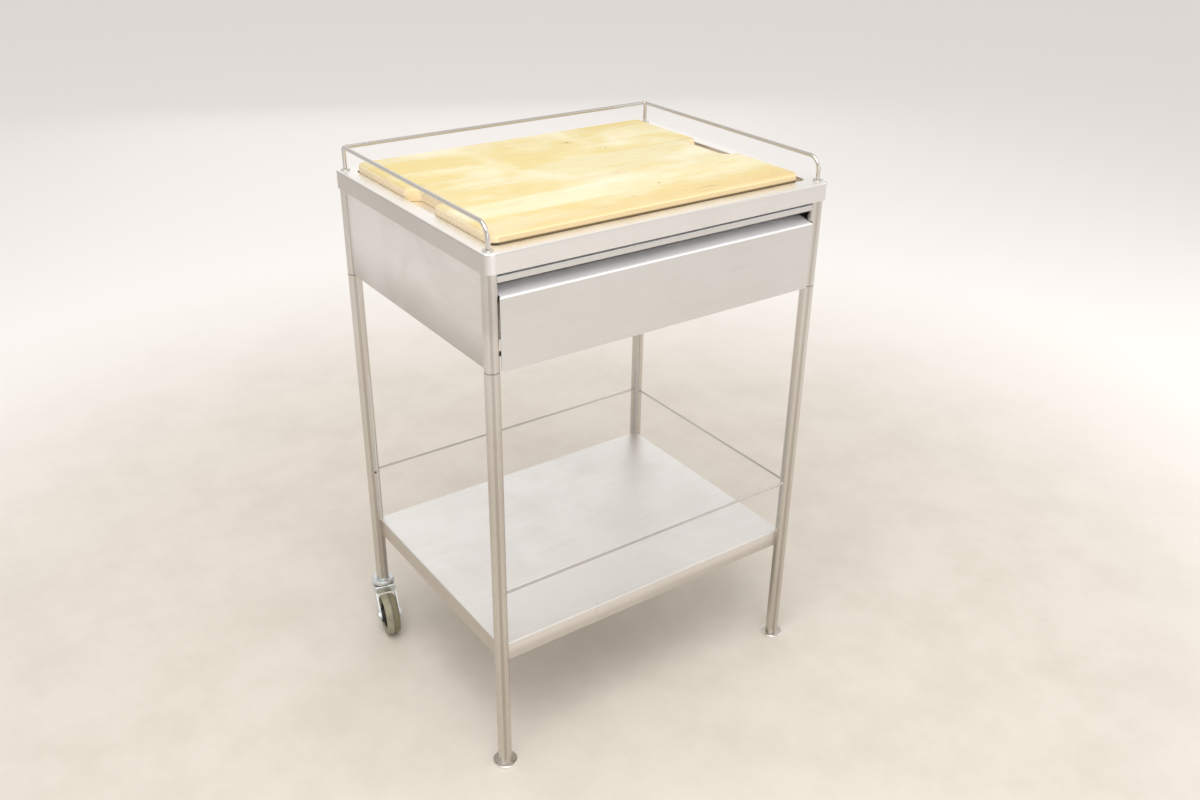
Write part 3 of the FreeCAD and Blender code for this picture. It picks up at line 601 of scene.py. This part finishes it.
for name, node in nodes.items():
    chosen = piece_finish.get(name) or slot_finish.get(slot_names[name])
    if chosen:
        finish_piece(node, chosen)
print("left for later:", sorted(name for name in nodes if slot_names[name] not in slot_finish
                                and name not in piece_finish))

# %% [markdown]
# ## Surfaces from grids of points
#
# The new pieces are all surfaces of two parameters: rows of points that are joined to the next row.
# One helper turns an array of rows into a mesh. A row can close on itself, as round a wheel, and the
# rows can close too, as round a wheel's rim.

# %% Grid of points to mesh
def grid_faces(rows, columns, close_rows, close_columns):
    """Four-cornered faces between neighbouring points of a grid, as an array of corner numbers."""
    row = np.arange(rows if close_rows else rows - 1)
    column = np.arange(columns if close_columns else columns - 1)
    r, c = np.meshgrid(row, column, indexing="ij")
    r_next, c_next = (r + 1) % rows, (c + 1) % columns
    corners = np.stack([r * columns + c, r * columns + c_next, r_next * columns + c_next,
                        r_next * columns + c], axis=-1)
    return corners.reshape(-1, 4)


def add_piece(name, points, faces, material, body, caps=()):
    """A new smooth piece from points and faces. caps are closed rims, each filled with one face."""
    mesh = bpy.data.meshes.new(name)
    mesh.from_pydata(points.reshape(-1, 3).tolist(), [], faces.tolist() + [list(rim) for rim in caps])
    mesh.materials.append(material)
    mesh.polygons.foreach_set("use_smooth", np.ones(len(mesh.polygons), dtype=bool))
    mesh.update()
    piece = bpy.data.objects.new(name, mesh)
    bpy.context.scene.collection.objects.link(piece)
    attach(piece, body)
    return piece


def store(piece, name, values):
    """Keep one number for each point of a piece, for a material to read."""
    layer = piece.data.attributes.new(name, "FLOAT", "POINT")
    layer.data.foreach_set("value", np.ascontiguousarray(values, dtype=np.float32).ravel())


print("grid of 4 by 3 points:", len(grid_faces(4, 3, False, False)), "faces")

# %% [markdown]
# ## The wooden board
#
# The board is a slab of glued staves that lies loose in the recess, with a hand hold cut into each
# short side. Years of scrubbing have rounded its edges unevenly. A box with a bevel would be too
# even, so the outline is drawn with arcs, and a rounded edge profile is carried round it, with a
# radius that wanders a little along the way.

# %% Outline of the board
board_low, board_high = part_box("work_board")
corner_round = 0.012
mouth_round = 0.0075
left_hold = {"centre": -0.0045, "length": 0.084, "depth": 0.022, "inner": 0.011}
right_hold = {"centre": -0.012, "length": 0.104, "depth": 0.025, "inner": 0.0165}


def rounded_outline(corners, radii, spacing):
    """Points along a closed line whose corners are arcs.

    An arc of radius r starts r * tan(half the turn) before its corner. Along it the point is the
    centre plus r times the direction that swings from the first touching point to the second.
    """
    corners = np.array(corners, dtype=float)
    before, after = np.roll(corners, 1, axis=0), np.roll(corners, -1, axis=0)
    way_in = (corners - before) / np.linalg.norm(corners - before, axis=1, keepdims=True)
    way_out = (after - corners) / np.linalg.norm(after - corners, axis=1, keepdims=True)
    leftward = way_in[:, 0] * way_out[:, 1] - way_in[:, 1] * way_out[:, 0]
    turn = np.arctan2(leftward, (way_in * way_out).sum(1))
    radii = np.array(radii)
    reach = radii * np.tan(np.abs(turn) / 2)
    start, end = corners - way_in * reach[:, None], corners + way_out * reach[:, None]
    side = np.sign(turn)
    centre = start + np.stack([-way_in[:, 1], way_in[:, 0]], axis=1) * (side * radii)[:, None]
    runs = []
    for k, (touch, angle) in enumerate(zip(start, turn)):
        steps = max(4, int(abs(angle) * radii[k] / spacing) + 1)
        swing = np.linspace(0, angle, steps + 1)
        arm = touch - centre[k]
        turned = np.stack([arm[0] * np.cos(swing) - arm[1] * np.sin(swing),
                           arm[0] * np.sin(swing) + arm[1] * np.cos(swing)], axis=1)
        straight_end = start[(k + 1) % len(corners)]
        length = np.linalg.norm(straight_end - end[k])
        inside = np.linspace(0, 1, max(2, int(length / spacing)) + 1)[1:-1, None]
        runs += [centre[k] + turned, end[k] + (straight_end - end[k]) * inside]
    return np.concatenate(runs)


def hold_corners(edge_x, inward, hold):
    """The four corners of a hand hold, in order of rising y, with their radii."""
    low, high = hold["centre"] - hold["length"] / 2, hold["centre"] + hold["length"] / 2
    deep = edge_x + inward * hold["depth"]
    points = [(edge_x, low), (deep, low), (deep, high), (edge_x, high)]
    return points, [mouth_round, hold["inner"], hold["inner"], mouth_round]


right_points, right_radii = hold_corners(board_high.x, -1, right_hold)
left_points, left_radii = hold_corners(board_low.x, 1, left_hold)
outline_corners = ([(board_low.x, board_low.y), (board_high.x, board_low.y)] + right_points
                   + [(board_high.x, board_high.y), (board_low.x, board_high.y)] + left_points[::-1])
outline_radii = [corner_round] * 2 + right_radii + [corner_round] * 2 + left_radii[::-1]
board_outline = rounded_outline(outline_corners, outline_radii, 0.004)
print("board outline:", len(board_outline), "points")

# %% [markdown]
# The edge profile goes from the underside, round a small radius, up the side, round the larger worn
# radius and on to the flat top. Each row of the grid is the outline moved inwards by the profile's
# depth, at the profile's height. The wear is a slow wave along the outline that moves the top edge
# in and down by up to about half a millimetre.

# %% Carry the edge profile round the outline
top_round, under_round = 0.0045, 0.002
flat_rim = 0.002
arc_points = 7
wear_in, wear_down = 0.0003, 0.00025
# How strong each wave of the wear is, how many there are round the board, and where it starts.
wear_waves = [(0.45, 5, 0.0), (0.3, 13, 1.0), (0.25, 29, 2.0)]


def inward_normals(outline):
    """Unit directions that point into a closed line that runs anticlockwise."""
    ahead = np.roll(outline, -1, axis=0) - np.roll(outline, 1, axis=0)
    ahead /= np.linalg.norm(ahead, axis=1, keepdims=True)
    return np.stack([-ahead[:, 1], ahead[:, 0]], axis=1)


def edge_profile(thickness):
    """Rows of (depth inwards, height, wear from 0 to 1) from the underside to the top."""
    quarter = np.linspace(0, math.pi / 2, arc_points)
    under = np.stack([under_round * (1 - np.sin(quarter)), under_round * (1 - np.cos(quarter)),
                      np.zeros(arc_points)], axis=1)
    over = np.stack([top_round * (1 - np.cos(quarter)), thickness - top_round * (1 - np.sin(quarter)),
                     np.sin(quarter)], axis=1)
    flat_under = [(under_round + flat_rim, 0.0, 0.0)]
    flat_top = [(top_round + step, thickness, wear)
                for step, wear in ((0.0006, 0.6), (0.0013, 0.25), (flat_rim, 0.0))]
    return np.concatenate([flat_under, under, over, flat_top])


def make_board():
    """Point (i, j) is outline point j moved inwards by the depth of profile row i, at that row's height."""
    inward = inward_normals(board_outline)
    step = np.linalg.norm(np.diff(board_outline, axis=0, append=board_outline[:1]), axis=1)
    along = np.cumsum(step) / step.sum() * 2 * math.pi
    wander = sum(strength * np.sin(count * along + start) for strength, count, start in wear_waves)
    thickness = board_high.z - board_low.z
    profile = edge_profile(thickness)
    inset, rise, worn = profile[:, :1], profile[:, 1:2], profile[:, 2:]
    depth = inset + worn * wear_in * (1 + wander)
    sunk = worn * (rise < thickness - 1e-6) * wear_down * (1 + wander)
    flat = board_outline[None] + inward[None] * depth[..., None]
    height = board_low.z + rise - sunk
    points = np.concatenate([flat, height[..., None]], axis=2)
    rows, columns = points.shape[:2]
    faces = grid_faces(rows, columns, False, True)
    last = (rows - 1) * columns
    caps = [range(columns - 1, -1, -1), range(last, last + columns)]
    return points, faces, caps, np.repeat(worn, columns, axis=1)


print("edge profile:", len(edge_profile(board_high.z - board_low.z)), "rows")

# %% [markdown]
# ## The board's wood
#
# The staves are pale, close-grained wood, each a little different in tone. The grain runs along X:
# noise stretched along X gives the fibres, and the sine of a second noise gives the darker figure.
# Each stave shifts the pattern by its own random number, so the figure stops at each glue line.

# %% Staves, figure and fibres
stave_width = 0.062
pale_wood, straw = (0.66, 0.62, 0.43), (0.62, 0.53, 0.26)


def squeeze(tree, vector, scale, turn=0.0):
    """Coordinates multiplied by a factor along each axis, then turned about Z."""
    return add(tree, "ShaderNodeMapping", Vector=vector, Scale=scale, Rotation=(0, 0, turn)).outputs[0]


def stave_grain(tree, place):
    """The wood's colour, its fibres, and the stave number with its fraction: y over a stave's width."""
    x, y, z = separate(tree, place)
    lanes = compute(tree, "DIVIDE", compute(tree, "SUBTRACT", y, board_low.y), stave_width)
    number = compute(tree, "FLOOR", lanes)
    chance = add(tree, "ShaderNodeTexWhiteNoise", {"noise_dimensions": "1D"}, W=number).outputs["Value"]
    shifted = add(tree, "ShaderNodeCombineXYZ", X=compute(tree, "MULTIPLY_ADD", chance, 3.0, x), Y=y,
                  Z=compute(tree, "MULTIPLY_ADD", chance, 0.7, z)).outputs[0]
    figure = noise(tree, squeeze(tree, shifted, (1.4, 16.0, 16.0)), 1.0, 3.0, 0.55, 0.6)
    rings = compute(tree, "SINE", times(tree, figure, 95.0))
    rings = compute(tree, "MULTIPLY_ADD", rings, 0.5, 0.5)
    fibres = use_group(tree, "brushed_lines", Vector=shifted, Stretch=(18, 900, 900), Contrast=1.8)
    wood = blend_colours(tree, times(tree, rings, 0.45), pale_wood, straw)
    wood = tint(tree, wood, fibres, 0.3, straw)
    wood = tint(tree, wood, remap(tree, chance, 0.3, 1.0), 0.3, (0.53, 0.43, 0.20))
    clouds = noise(tree, squeeze(tree, shifted, (4.5, 13.0, 13.0)), 1.0, 4.0, 0.6)
    wood = tint(tree, wood, remap(tree, clouds, 0.44, 0.6), 0.75, (0.60, 0.475, 0.17))
    streaks = noise(tree, squeeze(tree, shifted, (5.0, 34.0, 34.0)), 1.0, 4.0, 0.6)
    wood = tint(tree, wood, remap(tree, streaks, 0.60, 0.78), 0.8, (0.50, 0.35, 0.11))
    return wood, fibres, lanes


print("staves across the board:", math.ceil((board_high.y - board_low.y) / stave_width))

# %% [markdown]
# Knots are rare cells of a random pattern: a dark core with a brown halo, and none close to the front
# edge. Use has bleached the middle, left the front edge orange and rubbed the worn edge darker. The
# faces beside the top keep the colour of fresher wood.

# %% Knots and use
def add_knots(tree, place, wood):
    """The wood with its knots, and a mask of their cores."""
    cells = add(tree, "ShaderNodeTexVoronoi", Vector=squeeze(tree, place, (13.0, 22.0, 7.0)), Scale=1.0)
    off_edge = compute(tree, "GREATER_THAN", separate(tree, place)[1], board_low.y + 0.03)
    rare = compute(tree, "GREATER_THAN", separate(tree, cells.outputs["Color"])[1], 0.62)
    rare = times(tree, rare, off_edge)
    core = times(tree, remap(tree, cells.outputs["Distance"], 0.022, 0.05, 1.0, 0.0), rare)
    halo = times(tree, remap(tree, cells.outputs["Distance"], 0.03, 0.2, 0.5, 0.0), rare)
    wood = blend_colours(tree, halo, wood, (0.44, 0.30, 0.10))
    return tint(tree, wood, core, 0.85, (0.12, 0.06, 0.025)), core


def add_use(tree, place, wood):
    """Bleach the middle, scatter nicks, and colour the front edge, the side faces and the worn edge."""
    y = separate(tree, place)[1]
    bleached = remap(tree, noise(tree, place, 6.0, 3.0, 0.5, 0.3), 0.42, 0.70)
    off_edge = remap(tree, y, board_low.y + 0.05, board_low.y + 0.14)
    wood = tint(tree, wood, times(tree, bleached, off_edge), 0.75, (0.71, 0.69, 0.56))
    nicks = use_group(tree, "specks", Vector=place, Scale=40.0, Size=0.09, Rarity=0.9)
    wood = tint(tree, wood, nicks, 0.75, (0.22, 0.14, 0.06))
    front = remap(tree, y, board_low.y + 0.075, board_low.y + 0.004)
    wood = tint(tree, wood, front, 0.5, (0.60, 0.45, 0.235))
    beside = remap(tree, facing(tree, 2), 0.35, 0.95, 1.0, 0.0)
    wood = tint(tree, wood, beside, 0.75, (0.90, 0.715, 0.44))
    worn = add(tree, "ShaderNodeAttribute", {"attribute_name": "worn_edge"}).outputs["Fac"]
    return tint(tree, wood, worn, 0.25, (0.62, 0.48, 0.28))


print("knots and use ready")

# %% [markdown]
# Knife cuts are the borders of long thin cells, turned a little from the grain. They show only on the
# top, and most of them near the front. The short ends show end grain, which is greyer and full of
# pores. Along the front side a thin dark line is painted level with the metal rim, as painted shadow in the gap.

# %% Cuts, end grain and painted gap shadow
top_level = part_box("top_plate")[1].z
cut_turn = 0.09


def add_cuts(tree, place, wood):
    """The wood with its knife cuts, and a mask of them."""
    long_cells = squeeze(tree, place, (7.0, 90.0, 1.0), cut_turn)
    slits = add(tree, "ShaderNodeTexVoronoi", {"feature": "DISTANCE_TO_EDGE"}, Vector=long_cells, Scale=1.0)
    thin = remap(tree, slits.outputs["Distance"], 0.008, 0.02, 1.0, 0.0)
    thin = times(tree, thin, compute(tree, "GREATER_THAN", facing(tree, 2), 0.97))
    some = remap(tree, noise(tree, place, 24.0, 2.0), 0.60, 0.66)
    y = separate(tree, place)[1]
    near_front = remap(tree, y, board_low.y + 0.09, board_low.y + 0.02, 0.12, 1.0)
    cuts = times(tree, times(tree, thin, some), near_front)
    return tint(tree, wood, cuts, 0.8, (0.16, 0.09, 0.045)), cuts


def add_end_grain(tree, place, wood):
    """Pores and a greyer tone on what looks along X."""
    end_face = remap(tree, compute(tree, "ABSOLUTE", facing(tree, 0)), 0.55, 0.85)
    pores = remap(tree, noise(tree, place, 520.0, 3.0, 0.7), 0.35, 0.7)
    end_tone = blend_colours(tree, pores, (0.92, 0.80, 0.60), (0.62, 0.49, 0.33))
    return tint(tree, wood, end_face, 0.65, end_tone)


def add_painted_gap_shadow(tree, place, wood):
    """Painted shadow: a dark line on the front side, from 3 mm below the metal rim to about 3 mm above it."""
    _, y, z = separate(tree, place)
    low_edge = remap(tree, z, top_level + 0.0014, top_level + 0.0034, 0.96, 0.0)
    above_rim = remap(tree, z, top_level - 0.0030, top_level - 0.0010)
    front_side = compute(tree, "LESS_THAN", y, board_low.y + 0.005)
    gap_shadow = times(tree, times(tree, low_edge, above_rim), front_side)
    # Painted shadow in the gap between the board's front and the metal rim.
    return tint(tree, wood, gap_shadow, 1.0, (0.045, 0.03, 0.02))


print("the metal rim is at", round(top_level, 4), "m")

# %% [markdown]
# The layers go on in order, and the glue lines come last. The fibres, cuts and knots also shape the
# surface, the cuts by about a tenth of a millimetre. The board then takes the place of the plain one.

# %% Make the board
def make_wood(name):
    """Scrubbed wood: staves, knots, use, cuts, end grain, painted gap shadow and glue lines in turn."""
    material, tree, shader, place = start_material(name)
    wood, fibres, lanes = stave_grain(tree, place)
    wood, core = add_knots(tree, place, wood)
    wood = add_use(tree, place, wood)
    wood, cuts = add_cuts(tree, place, wood)
    wood = add_end_grain(tree, place, wood)
    wood = add_painted_gap_shadow(tree, place, wood)
    off_middle = compute(tree, "ABSOLUTE", compute(tree, "SUBTRACT", compute(tree, "FRACT", lanes), 0.5))
    glue = remap(tree, off_middle, 0.494, 0.5, 0.0, 0.35)
    wood = blend_colours(tree, glue, wood, (0.34, 0.24, 0.11))
    dress(shader, wood, compute(tree, "MULTIPLY_ADD", fibres, 0.14, 0.42))
    shader.inputs["Specular IOR Level"].default_value = 0.35
    height = compute(tree, "MULTIPLY_ADD", fibres, 0.5, times(tree, cuts, -3.0))
    height = compute(tree, "MULTIPLY_ADD", core, -2.0, height)
    bump(tree, shader, height, 5e-5)
    return material


board_points, board_faces, board_caps, board_worn = make_board()
board_wood = make_wood("scrubbed_board_wood")
board = add_piece("board", board_points, board_faces, board_wood, "board", board_caps)
store(board, "worn_edge", board_worn)
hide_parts("work_board")
print("board:", len(board.data.polygons), "faces")

# %% [markdown]
# ## The tyres
#
# Each tyre is a ring of grey-beige rubber pressed on the wheel's centre. Its section has straight
# sides, rounded shoulders, a crowned tread and a thin moulding line round the middle. The section is
# turned about the axle.

# %% Section of a tyre, turned about its axle
tyre_half_width = 0.012
shoulder_round = 0.0036
tread_drop = 0.0013
ridge_height, ridge_width = 0.0003, 0.0009
bevel_in, bevel_up, wall_foot = 0.0025, 0.0036, 0.0045
def turn_section(section, centre, axle, count):
    """Rows of points: each section point (across, radius) swung round the axle in count steps.

    Point = centre + across * axle + radius * (cos(a) * first + sin(a) * second).
    """
    axle = np.array(axle) / np.linalg.norm(axle)
    guide = np.array([0.0, 0.0, 1.0]) if abs(axle[2]) < 0.9 else np.array([1.0, 0.0, 0.0])
    first = np.cross(guide, axle)
    first /= np.linalg.norm(first)
    second = np.cross(axle, first)
    angle = np.linspace(0, 2 * math.pi, count, endpoint=False)[None, :, None]
    across, radius = section[:, 0][:, None, None], section[:, 1][:, None, None]
    ring = radius * (np.cos(angle) * first + np.sin(angle) * second)
    return np.array(centre) + across * axle + ring


def tyre_section(half_width, inner, outer):
    """Closed (across, radius) outline, from the inner left round the tread to the inner right.

    The tread falls by tread_drop times the square of how far across it is, and its small middle
    ridge is e to the minus square of across over ridge_width.
    """
    swing = np.linspace(0, math.pi / 2, 6)
    edge_radius = outer - tread_drop
    left = np.stack([-half_width + shoulder_round * (1 - np.cos(swing)),
                     edge_radius - shoulder_round + shoulder_round * np.sin(swing)], axis=1)
    tread_half = half_width - shoulder_round
    across = np.linspace(-tread_half, tread_half, 17)[1:-1]
    crown = outer - tread_drop * (across / tread_half) ** 2
    ridge = ridge_height * np.exp(-(across / ridge_width) ** 2)
    tread = np.stack([across, np.minimum(crown - ridge_height + ridge, outer)], axis=1)
    right = left[::-1] * np.array([-1.0, 1.0])
    wall = np.array([(-half_width + bevel_in, inner), (-half_width, inner + bevel_up),
                     (-half_width, inner + wall_foot)])
    return np.concatenate([wall, left, tread, right, wall[::-1] * np.array([-1.0, 1.0])])


print("tyre section:", len(tyre_section(tyre_half_width, 0.026, 0.0375)), "points")

# %% [markdown]
# The place across the tyre is stored on each point, from -1 to 1, because one side of it is painted
# lighter and the other darker, as painted light and shade. A dark line of grime follows the moulding line.

# %% Make the tyres
def make_rubber(name):
    """Aged rubber: painted light makes one side cream and painted shade the other olive, with a dark line between
    them and fine patches.
    """
    material, tree, shader, place = start_material(name)
    across = add(tree, "ShaderNodeAttribute", {"attribute_name": "across"}).outputs["Fac"]
    # Painted light and shade: a mask from the lit cream side to the shaded olive side.
    worn = remap(tree, across, -0.15, 0.55)
    patches = noise(tree, place, 90.0, 5.0, 0.65)
    rubber = blend_colours(tree, worn, (0.325, 0.30, 0.21), (0.21, 0.18, 0.105))
    rubber = blend_colours(tree, remap(tree, patches, 0.45, 0.75, 0.0, 0.5), rubber, (0.13, 0.115, 0.085))
    off_line = compute(tree, "ABSOLUTE", compute(tree, "ADD", across, -0.1))
    line = remap(tree, off_line, 0.04, 0.32, 0.6, 0.0)
    rubber = blend_colours(tree, line, rubber, (0.075, 0.065, 0.045))
    dress(shader, rubber, compute(tree, "MULTIPLY_ADD", patches, 0.2, 0.5))
    bump(tree, shader, patches, 1.2e-4)
    return material


def radius_of(node):
    """Half the height of a wheel's part."""
    low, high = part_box(node)
    return (high.z - low.z) / 2


tyre_rubber = make_rubber("aged_tyre_rubber")
tyre_steps = 96
joint_of = {joint["child"]: joint for joint in frame["joints"]}
for side in ("left", "right"):
    spin = joint_of["wheel_" + side]
    outer_radius, inner_radius = radius_of("wheel_tyre_" + side), radius_of("wheel_core_" + side)
    section = tyre_section(tyre_half_width, inner_radius, outer_radius)
    rings = turn_section(section, spin["pos_m"], spin["axis"], tyre_steps)
    faces = grid_faces(len(section), tyre_steps, True, True)
    tyre = add_piece("tyre_" + side, rings, faces, tyre_rubber, "wheel_" + side)
    store(tyre, "across", np.repeat(section[:, :1] / tyre_half_width, tyre_steps, axis=1))
    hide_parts("wheel_tyre_" + side)
print("tyre radius", round(outer_radius, 4), "m on a centre of", round(inner_radius, 4), "m")

# %% [markdown]
# ## Welds round the shelf rods
#
# Each rod above the shelf is welded to the legs with a small bead. The bead follows the curve where
# a thin rod meets a thicker tube, which dips in beside the rod because the tube turns away. Its
# slight ripples are the steps of the weld pool. A ring lying flat against the tube would float off
# it at the sides, so the true meeting curve is used.

# %% Beads on the saddle curve
def saddle_bead(tube_radius, rod_radius, thickness):
    """Points (along the rod, across it, up) of a bead, in rows round the rod.

    At angle a the path is rod_radius * cos(a) across and rod_radius * sin(a) up. Along the rod it
    lies sqrt(tube_radius^2 - across^2) from the tube's middle.
    """
    a = np.linspace(0, 2 * math.pi, 64, endpoint=False)[:, None]
    b = np.linspace(0, 2 * math.pi, 10, endpoint=False)[None, :]
    swell = thickness * (1 + 0.16 * np.sin(11 * a))
    reach = rod_radius + swell * np.cos(b)
    along = np.sqrt(tube_radius ** 2 - (rod_radius * np.cos(a)) ** 2) + swell * np.sin(b)
    return np.stack([along, reach * np.cos(a), reach * np.sin(a)], axis=-1)


weld_metal = make_steel("weld_metal", (0.62, 0.59, 0.55), 0.34, (300, 300, 300), smudge=0.9, scratch=0.0,
                        dust=0.0)
weld_thickness = 0.0013
# Each rod end: the rod, the axis that it runs along, its leg, and which side of the leg it is on.
rod_ends = [("shelf_rod_front", 0, "leg_front_left", 1), ("shelf_rod_front", 0, "leg_front_right", -1),
            ("shelf_rod_back", 0, "leg_back_left", 1), ("shelf_rod_back", 0, "leg_back_right", -1),
            ("shelf_rod_right", 1, "leg_front_right", 1), ("shelf_rod_right", 1, "leg_back_right", -1)]
for rod, axis, leg, way in rod_ends:
    leg_low, leg_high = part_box(leg)
    rod_low, rod_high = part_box(rod)
    bead = saddle_bead((leg_high.x - leg_low.x) / 2, (rod_high.z - rod_low.z) / 2, weld_thickness)
    middle = [(leg_low.x + leg_high.x) / 2, (leg_low.y + leg_high.y) / 2, (rod_low.z + rod_high.z) / 2]
    places = np.empty_like(bead)
    places[..., axis] = middle[axis] + way * bead[..., 0]
    places[..., 1 - axis] = middle[1 - axis] + bead[..., 1]
    places[..., 2] = middle[2] + bead[..., 2]
    bead_faces = grid_faces(*bead.shape[:2], True, True)
    # The bead's own faces look inwards. Mirroring it turns them outwards, and the others are turned here.
    if (way > 0) == (axis == 0):
        bead_faces = bead_faces[:, ::-1]
    weld = add_piece("weld_" + rod.split("_")[-1] + "_at_" + leg, places, bead_faces, weld_metal, "frame")
print(len(rod_ends), "weld beads")

# %% [markdown]
# ## The floor
#
# A plain pale floor suits a piece of clinic equipment. It is mottled and darker near the cart, as
# painted shade round it, and fades to near white away from it.

# %% Floor
def make_floor(name):
    """A pale mottled floor, darker near the cart as painted shade, that fades to near white away from it."""
    material, tree, shader, place = start_material(name)
    x, y, _ = separate(tree, place)
    away = remap(tree, distance(tree, x, y), 0.8, 2.2)
    mottle = remap(tree, noise(tree, place, 5.0, 8.0, 0.68), 0.35, 0.7, 0.0, 0.8)
    # The mottled colour near the cart, darkened as painted shade round the cart.
    mottle_and_painted_shade = blend_colours(tree, mottle, (0.67, 0.62, 0.555), (0.60, 0.55, 0.485))
    pale = blend_colours(tree, away, mottle_and_painted_shade, (0.95, 0.925, 0.905))
    dress(shader, pale, compute(tree, "MULTIPLY_ADD", mottle, 0.2, 0.5))
    shader.inputs["Specular IOR Level"].default_value = 0.3
    return material


floor_half = 14.0
corner_signs = np.array([[-1, -1, 0], [1, -1, 0], [-1, 1, 0], [1, 1, 0]], dtype=float)
floor_mesh = bpy.data.meshes.new("floor")
floor_mesh.from_pydata((corner_signs * floor_half).tolist(), [], [(0, 1, 3, 2)])
floor_mesh.materials.append(make_floor("pale_floor"))
floor = bpy.data.objects.new("floor", floor_mesh)
bpy.context.scene.collection.objects.link(floor)
print("floor", 2 * floor_half, "m across")

# %% [markdown]
# ## The light
#
# Most of what the steel shows is the room, so the world gives bright, even light from all round. A
# large lamp above the front left gives the soft shadows, and a weaker one fills the right. A glow from
# behind, hidden from the camera, brightens the shelf's reflection, and a low lamp in front lights the
# drawer's face.

# %% World and lamps
world = bpy.data.worlds.new("room")
world.use_nodes = True
background = world.node_tree.nodes["Background"]
background.inputs["Color"].default_value = (1.0, 0.975, 0.95, 1.0)
background.inputs["Strength"].default_value = 0.75
bpy.context.scene.world = world
bpy.context.scene.view_settings.view_transform = "Standard"


def add_lamp(name, place, aim, size, power, colour):
    """A square soft lamp that looks at a point, with its size in metres and its power in watts."""
    lamp = bpy.data.lights.new(name, "AREA")
    lamp.size = size
    lamp.energy = power
    lamp.color = colour
    holder = bpy.data.objects.new(name, lamp)
    away = np.array(aim) - np.array(place)
    turn = math.atan2(away[0], -away[1])
    tilt = math.atan2(math.hypot(away[0], away[1]), -away[2])
    holder.location = place
    holder.rotation_euler = (tilt, 0.0, turn + math.pi)
    bpy.context.scene.collection.objects.link(holder)
    return holder


add_lamp("ceiling_lamp", (-0.7, -0.8, 3.0), (0, 0, 0.6), 2.2, 60.0, (1.0, 0.985, 0.965))
add_lamp("right_fill", (2.6, -1.2, 1.8), (0, 0, 0.5), 1.8, 12.0, (1.0, 0.97, 0.94))
back_glow = add_lamp("back_glow", (1.6, 3.4, 2.0), (0, 0, 0.7), 3.4, 11.0, (1.0, 0.98, 0.96))
back_glow.visible_camera = False
add_lamp("low_front", (-0.5, -3.2, 1.25), (0, 0, 0.75), 1.8, 13.0, (0.97, 0.98, 1.0))
print("lamps:", [light.name for light in bpy.data.lights])
